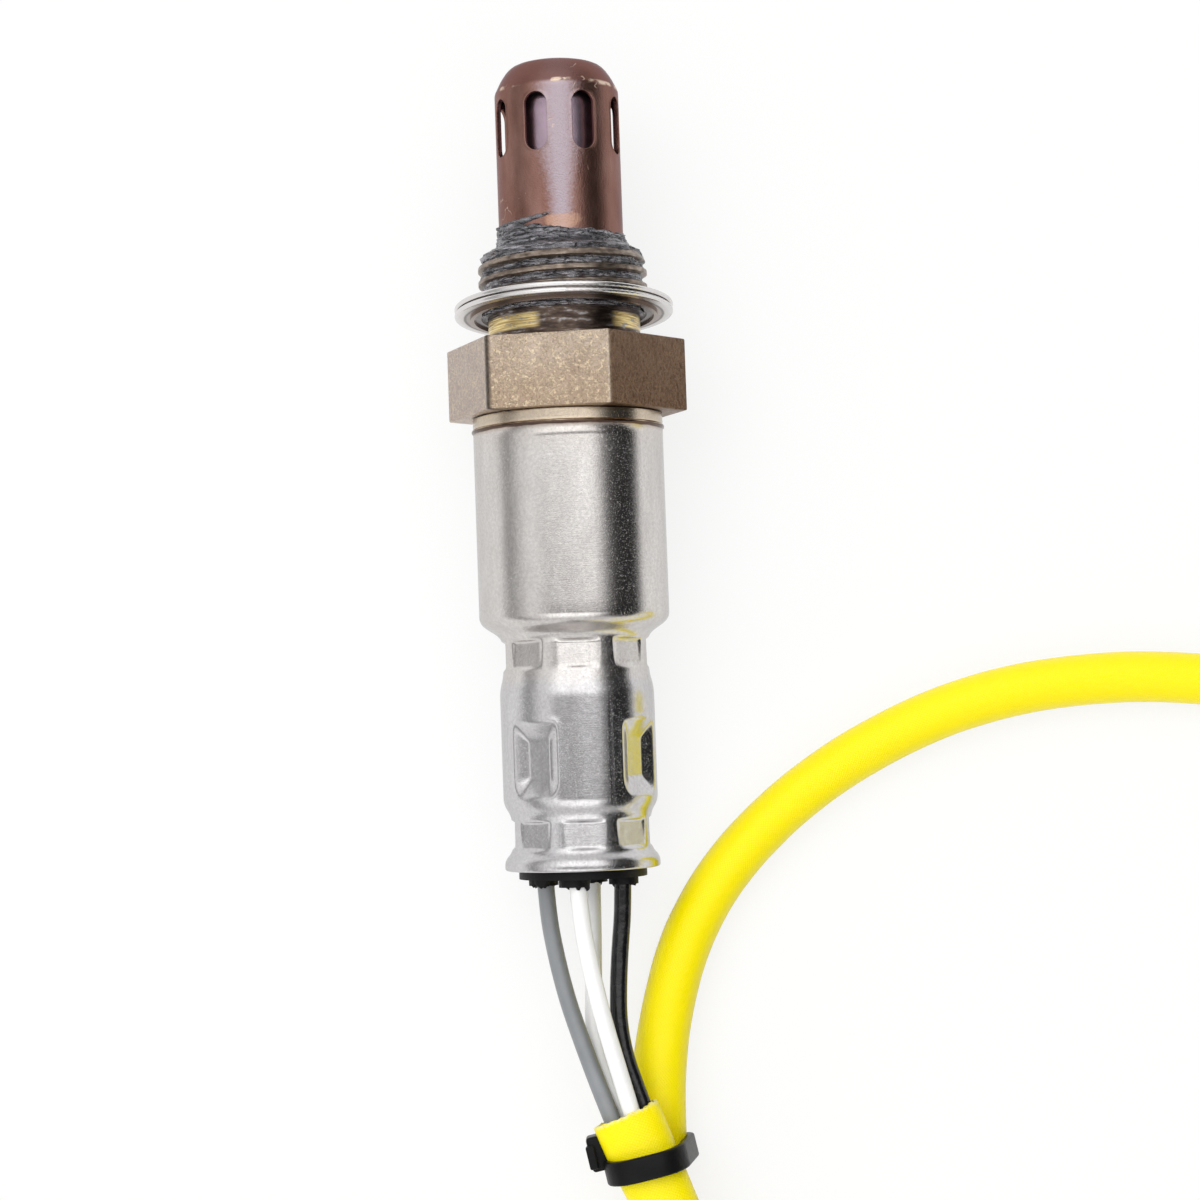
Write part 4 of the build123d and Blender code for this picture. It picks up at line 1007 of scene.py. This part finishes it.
def build_cover():
    """Skin of the cover: a sector round each slot, and turned bands below and above them."""
    points, faces = [], []
    border = sector_border()
    outer_r, inner_r = OUTER_COVER_R, OUTER_COVER_R - OUTER_COVER_WALL

    def add(point):
        points.append(point)
        return len(points) - 1

    def strip(first, second):
        for j in range(len(first)):
            k = (j + 1) % len(first)
            faces.append((first[j], first[k], second[k], second[j]))

    for number in range(SLOT_COUNT):
        middle = SLOT_TURN + sector * number

        def loop(grow, distance, share):
            found = []
            for (u, s), (x, slot_s) in zip(border, slot_outline(grow)):
                edge_turn = degrees(asin(x / distance))
                turn = middle + u * sector / 2 * (1 - share) + edge_turn * share
                found.append(add(polar(turn, distance, s * (1 - share) + slot_s * share)))
            return found

        loops = [loop(0.22, outer_r, share / SLOT_RINGS) for share in range(SLOT_RINGS + 1)]
        loops += [loop(*edge, 1) for edge in (
            (0.13, outer_r + LIP_RISE * 0.8), (0.07, outer_r + LIP_RISE),
            (0.02, outer_r + LIP_RISE * 0.4), (0.0, outer_r - 0.05), (0.0, inner_r + 0.06))]
        loops += [loop(0.06, inner_r, 1 - share / 3) for share in range(4)]
        for first, second in zip(loops, loops[1:]):
            strip(first, second)

    def band(profile, top=None):
        """Turned skin through a profile, closed at its end where the station top is given."""
        turns = [SLOT_TURN - sector / 2 + 360 * j / cover_columns for j in range(cover_columns)]
        rings = [[add(polar(turn, *point)) for turn in turns] for point in profile]
        for first, second in zip(rings, rings[1:]):
            strip(first, second)
        if top is not None:
            middle = add(Vector((0, 0, top)))
            faces.extend((a, b, middle) for a, b in zip(rings[-1], rings[-1][1:] + rings[-1][:1]))

    foot, flange_top = OUTER_COVER_FOOT, OUTER_COVER_FOOT + OUTER_COVER_WALL
    band([(inner_r, zone_low), (inner_r, foot), (COVER_FLANGE_R, foot),
          (COVER_FLANGE_R, flange_top), (outer_r, flange_top)]
         + run(outer_r, flange_top, zone_low, 6))
    crown = COVER_SHAPE[-1][1]
    band([(outer_r, zone_high)] + cover_profile(0.0), crown + 0.01)
    band([(inner_r, zone_high)] + cover_profile(OUTER_COVER_WALL), crown - OUTER_COVER_WALL)
    return points, faces


def weld(piece):
    """Joins points that lie on each other and turns all faces outwards."""
    shape = bmesh.new()
    shape.from_mesh(piece.data)
    bmesh.ops.remove_doubles(shape, verts=shape.verts, dist=WELD_REACH * MM)
    bmesh.ops.recalc_face_normals(shape, faces=shape.faces)
    shape.to_mesh(piece.data)
    shape.free()
    piece.data.set_sharp_from_angle(angle=radians(COVER_SHARP))


cover = add_mesh("slotted_cover", build_cover(), cover_brown)
weld(cover)
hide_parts("outer_cover")

# ---- Wires, sleeve and cable tie ----
SHEATHS = {"wire_white": white_sheath, "wire_black": black_sheath, "wire_grey": grey_sheath}


def pieces_on(name):
    """CAD pieces at the plug's end of a wire: its own pin and seal, and the housing once."""
    number = name[-1]
    names = [f"plug_pin_{number}", f"plug_seal_{number}"] + ["plug_housing"] * (number == "1")
    return [frame["nodes"][found] for found in names]


for name, (slot_name, route) in WIRES.items():
    wire = route_curve(f"cord_{name}", route)
    real_length = length_of(spline_points(wire))
    wire.data.bevel_depth = WIRE_R * MM
    wire.data.bevel_resolution = WIRE_ROUND
    wire.data.materials.append(SHEATHS[slot_name])
    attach(wire, "root")
    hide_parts(name)
    to_plug = name.startswith("plug_wire")
    pieces_on(name) if to_plug else []

SLEEVE_SIDES = 72
SLEEVE_WALL = 0.4
MOUTH_HALF_WIDTH = 3.6
MOUTH_HALF_HEIGHT = 2.2
MOUTH_FADE = 26.0           # over which the flattened mouth becomes round
TIED_HALF_WIDTH = 3.1
TIED_HALF_HEIGHT = 2.4
TIED_FADE = 9.0
FIRST_PASS = 60             # along the sleeve, the tie's upper strand is over
TIE_LOWER = Vector((6.72, -71.2, 4.1))
CUT_END = [(SLEEVE_WALL, 0.35), (SLEEVE_WALL / 2, 0.42), (0.03, 0.3)]     # inset, fray
CUT_DEPTH = 9               # points of the path that the inside is drawn for
INNER_MARK = 2.0            # braid's mark inside, away from the pale cut
UPRIGHT = Vector((0, 0, 1))

sleeve_line = route_curve("sleeve_line", SLEEVE_ROUTE)
sleeve_path = spline_points(sleeve_line)
bpy.data.objects.remove(sleeve_line)


def sleeve_section(travel, remaining, centre):
    """Half width and half height of the sleeve: flattened at its ends and in the tie."""
    flat = max(1 - ease(travel / MOUTH_FADE), 0.5 * (1 - ease(remaining / MOUTH_FADE)))
    tied = exp(-((centre - TIE_LOWER).length / TIED_FADE) ** 2) if travel > FIRST_PASS else 0.0
    return [SLEEVE_R + (mouth - SLEEVE_R) * flat + (in_tie - SLEEVE_R) * tied
            for mouth, in_tie in ((MOUTH_HALF_WIDTH, TIED_HALF_WIDTH),
                                  (MOUTH_HALF_HEIGHT, TIED_HALF_HEIGHT))]


def build_sleeve():
    """Rows of the sleeve's skin, and for each its distance along the braid."""
    travels = [0.0]
    for a, b in zip(sleeve_path, sleeve_path[1:]):
        travels.append(travels[-1] + (b - a).length)
    last = len(sleeve_path) - 1
    rows, marks = [], []

    def ring(i, inset, fray=0.0, along=None):
        centre = sleeve_path[i]
        chord = (sleeve_path[min(i + 1, last)] - sleeve_path[max(i - 1, 0)]).normalized()
        side = chord.cross(UPRIGHT).normalized()
        up = side.cross(chord)
        heading = up.cross(side)
        half_width, half_height = sleeve_section(travels[i], travels[-1] - travels[i], centre)
        row = []
        for j in range(SLEEVE_SIDES):
            a = 2 * pi * j / SLEEVE_SIDES
            ragged = fray * (0.6 * speckle(cos(a) * 3, sin(a) * 3, inset, 1.1)
                             + 0.5 * speckle(cos(a) * 9, sin(a) * 9, inset, 0.9))
            dent = 0.05 * speckle(centre.x + 4 * cos(a), centre.y + 4 * sin(a), 3.0, 7.0)
            row.append(centre + side * (half_width - inset + dent) * cos(a)
                       + up * (half_height - inset + dent) * sin(a) + heading * ragged)
        rows.append(row)
        marks.append(travels[i] if along is None else along)

    for i in range(CUT_DEPTH, 0, -1):
        ring(i, SLEEVE_WALL, along=INNER_MARK)
    for inset, fray in CUT_END:
        ring(0, inset, fray, 0.0)
    for i in range(1, last):
        ring(i, 0.0)
    for inset, fray in CUT_END[::-1]:
        ring(last, inset, fray, 0.0)
    for i in range(last - 1, last - CUT_DEPTH, -1):
        ring(i, SLEEVE_WALL, along=INNER_MARK)
    return rows, marks


rows, marks = build_sleeve()
faces, braid = [], []
for i, (here, there) in enumerate(zip(marks, marks[1:])):
    a, b = i * SLEEVE_SIDES, (i + 1) * SLEEVE_SIDES
    for j in range(SLEEVE_SIDES):
        k = (j + 1) % SLEEVE_SIDES
        faces.append((a + k, a + j, b + j, b + k))
        u, v = j / SLEEVE_SIDES, (j + 1) / SLEEVE_SIDES
        braid += [(v, here, 0), (u, here, 0), (u, there, 0), (v, there, 0)]
sleeve = add_mesh("braided_sleeve", ([point for row in rows for point in row], faces),
                  braid_yellow, at=Matrix.Identity(4), sharp=80.0)
layer = sleeve.data.attributes.new("braid", "FLOAT_VECTOR", "CORNER")
layer.data.foreach_set("vector", [value for entry in braid for value in entry])
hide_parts("sleeve")

TIE_PLACE = Vector((5.44, -71.96, 0.0))
TIE_HEADING = -78.0
TIE_WIDTH = 2.5
TIE_THICKNESS = 0.85
TIE_CIRCLES = [(-0.46, 9.9, 2.95), (0.75, 9.9, 2.95), (0.83, 4.1, 3.0), (1.79, 4.1, 3.0)]
TIE_LEAN = 0.6              # how far the strap's lower part runs back towards the sensor
TIE_LEAN_RATE = 0.09
TIE_SIDES = 160
TIE_CORNER = 0.28           # rounding of the strap's edges
TIE_HEAD = ((-4.13, 7.6, -2.0), (2.6, 3.6, 4.3), 0.35)      # middle, sizes, rounding
TIE_TAIL = ((-5.18, 9.4, -1.85), (0.9, 2.4, 2.0), 0.2)
tie_heading = Vector((cos(radians(TIE_HEADING)), sin(radians(TIE_HEADING)), 0))
tie_side = Vector((-tie_heading.y, tie_heading.x, 0))
tie_top = max(z + r for _, z, r in TIE_CIRCLES)


def tie_point(x, z, along):
    """Point in millimetres of the tie's leaning plane."""
    lean = TIE_LEAN * (1 - exp(-max(tie_top - z, 0.0) * TIE_LEAN_RATE / TIE_LEAN))
    return TIE_PLACE + tie_side * x + UPRIGHT * z + tie_heading * (along - lean)


def tie_loop(grow, along):
    """Points once round the circles that the strap goes over, as a taut line."""
    row = []
    for j in range(TIE_SIDES):
        a = -pi / 2 + 2 * pi / TIE_SIDES * j
        x, z, r = max(TIE_CIRCLES, key=lambda found: (
            found[0] * cos(a) + found[1] * sin(a) + found[2]))
        row.append(tie_point(x + (r + grow) * cos(a), z + (r + grow) * sin(a), along))
    return row


strap_outline = []
half = TIE_WIDTH / 2 - TIE_CORNER
for quarter, (along, grow) in enumerate((
        (half, TIE_THICKNESS - TIE_CORNER), (-half, TIE_THICKNESS - TIE_CORNER),
        (-half, TIE_CORNER), (half, TIE_CORNER))):
    for i in range(6):
        a = radians(90 * quarter + 18 * i)
        strap_outline.append((along + TIE_CORNER * cos(a), grow + TIE_CORNER * sin(a)))
strap = wrap([tie_loop(grow, along) for along, grow in strap_outline])


def rounded_block(place, sizes, corner):
    """Points and faces of a block with rounded edges on the tie."""
    axes = (tie_side, tie_heading, UPRIGHT)
    shape = bmesh.new()
    bmesh.ops.create_cube(shape, size=1.0)
    for vertex in shape.verts:
        vertex.co = Vector(vertex.co[i] * sizes[i] for i in range(3))
    bmesh.ops.bevel(shape, geom=list(shape.edges), offset=corner, segments=5, affect="EDGES",
                    profile=0.5)
    shape.verts.ensure_lookup_table()
    middle = tie_point(*place)
    skin = ([middle + sum((axes[i] * v.co[i] for i in range(3)), Vector()) for v in shape.verts],
            [tuple(v.index for v in face.verts) for face in shape.faces])
    shape.free()
    return skin


tie = add_mesh("strap_tie", join(strap, rounded_block(*TIE_HEAD), rounded_block(*TIE_TAIL)),
               nylon_black, at=Matrix.Identity(4))
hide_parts("cable_tie")

# ---- Torn rubber lips where the wires leave the grommet ----
LIP_R = 1.3
LIP_SIDES = 48
LIP_ROWS = [                # distance from the wire's middle, station, fray, swelling
    (WIRE_R - 0.1, GROMMET_FACE + 0.6, 0.0, 0.0), (WIRE_R + 0.02, GROMMET_END, 0.55, 0.0),
    (WIRE_R + 0.25, GROMMET_END - 0.08, 0.6, 0.12), (LIP_R, GROMMET_END + 0.1, 0.5, 0.12),
    (LIP_R + 0.1, GROMMET_FACE - 0.1, 0.0, 0.12), (LIP_R + 0.3, GROMMET_FACE + 0.6, 0.0, 0.12),
]
WIRE_TURNS = (-9.0, 81.0, 171.0, -99.0)     # white front, black, white back, grey


def torn_lip(number, turn):
    """A collar round one wire, longer and shorter by turns where the mould's skin tore."""
    middle = polar(turn, WIRE_PITCH_R, 0)
    rows = []
    for distance, station, ragged, swell in LIP_ROWS:
        row = []
        for j in range(LIP_SIDES):
            a = 2 * pi * j / LIP_SIDES
            x, y = cos(a) * 1.5, sin(a) * 1.5
            tear = ragged * speckle(x + 7 * number, y, 0.0, 0.9)
            wide = distance + swell * speckle(x + 3 * number, y, station, 0.8)
            row.append(middle + Vector((wide * cos(a), wide * sin(a), station + tear)))
        rows.append(row)
    return wrap(rows)


add_mesh("torn_lips", join(*[torn_lip(i, turn) for i, turn in enumerate(WIRE_TURNS)]),
         black_rubber, sharp=60.0)

# ---- Floor, world and lamp ----
FLOOR_REACH = 3.0
FLOOR_WHITE = 0.80          # share of the floor's white that takes no shadow
WORLD_GAIN = 1.7            # lets the ramp go over white
CAMERA_SHADE = 0.80         # share of the light that the camera itself keeps off
PANELS = [                  # angle from straight up towards +X, level
    (-90, 0.46), (-74, 0.42), (-66, 0.70), (-60, 0.95), (-45, 1.0), (-36, 1.3), (-28, 1.62),
    (0, 1.65), (29, 1.65), (34, 1.25), (40, 0.5), (47, 0.13), (58, 0.05), (70, 0.04),
    (84, 0.05), (89, 0.08), (90, 0.5),
]
END_LEVEL = 0.85            # of the world's two ends along the sensor
LAMP_PLACE = (-0.35, 0.15, 0.9)
LAMP_SIZE = 0.7
LAMP_WATTS = 2.2


def ray(kind):
    return node("LightPath", f"Is {kind} Ray")


floor_mesh = bpy.data.meshes.new("floor")
floor_mesh.from_pydata([(x * FLOOR_REACH, y * FLOOR_REACH, 0) for x, y in (
    (-1, -1), (1, -1), (1, 1), (-1, 1))], [], [(0, 1, 2, 3)])
put("floor", floor_mesh)
new_material("floor_white", Base_Color=(0.86, 0.86, 0.86), Roughness=1.0, Specular_IOR_Level=0.0)
floor_mesh.materials.append(in_hand["material"])
watched = maths("MAXIMUM", ray("Camera"), maths("MAXIMUM", ray("Glossy"), ray("Transmission")))
white = node("Emission", 0, {"Color": (1.0, 1.0, 0.996), "Strength": 1.0})
mixed = node("MixShader", 0, {
    0: watched * FLOOR_WHITE, 1: Signal(in_hand["shader"].outputs[0]), 2: white,
})
feed(in_hand["tree"].nodes["Material Output"].inputs["Surface"], mixed)

world = bpy.data.worlds.new("studio")
bpy.context.scene.world = world
world.use_nodes = True
in_hand["tree"] = world.node_tree
x, y, z = (axis_value(axis, node("TexCoord", "Generated")) for axis in "XYZ")
side_angle = maths("ARCTAN2", x, z)
side_lean = maths("DEGREES", side_angle)
tip_lean = maths("DEGREES", maths("ARCTAN2", y, z))
panels = ramp(span(side_angle, -pi / 2, pi / 2), *[
    ((angle + 90) / 180, [level / WORLD_GAIN] * 3) for angle, level in PANELS])
gap_at = tip_lean + side_lean * 0.06
gap = between(gap_at, -19.0, -12.0) * between(gap_at, 2.5, -5.0)
gap = gap * between(side_lean, -46.0, -30.0)
shaded = blend(gap * CAMERA_SHADE, panels, (0.0, 0.0, 0.0))
studio = blend(between(abs(y), 0.6, 0.95), shaded, [END_LEVEL / WORLD_GAIN] * 3)
background = world.node_tree.nodes["Background"]
feed(background.inputs["Strength"], WORLD_GAIN)
feed(background.inputs["Color"], blend(ray("Camera"), studio, [1 / WORLD_GAIN] * 3))

lamp_data = bpy.data.lights.new("overhead", "AREA")
lamp_data.shape = "DISK"
lamp_data.size = LAMP_SIZE
lamp_data.energy = LAMP_WATTS
lamp = put("overhead", lamp_data)
lamp.location = LAMP_PLACE
lamp.rotation_euler = (-lamp.location).to_track_quat("-Z", "Y").to_euler()
lamp.visible_glossy = False
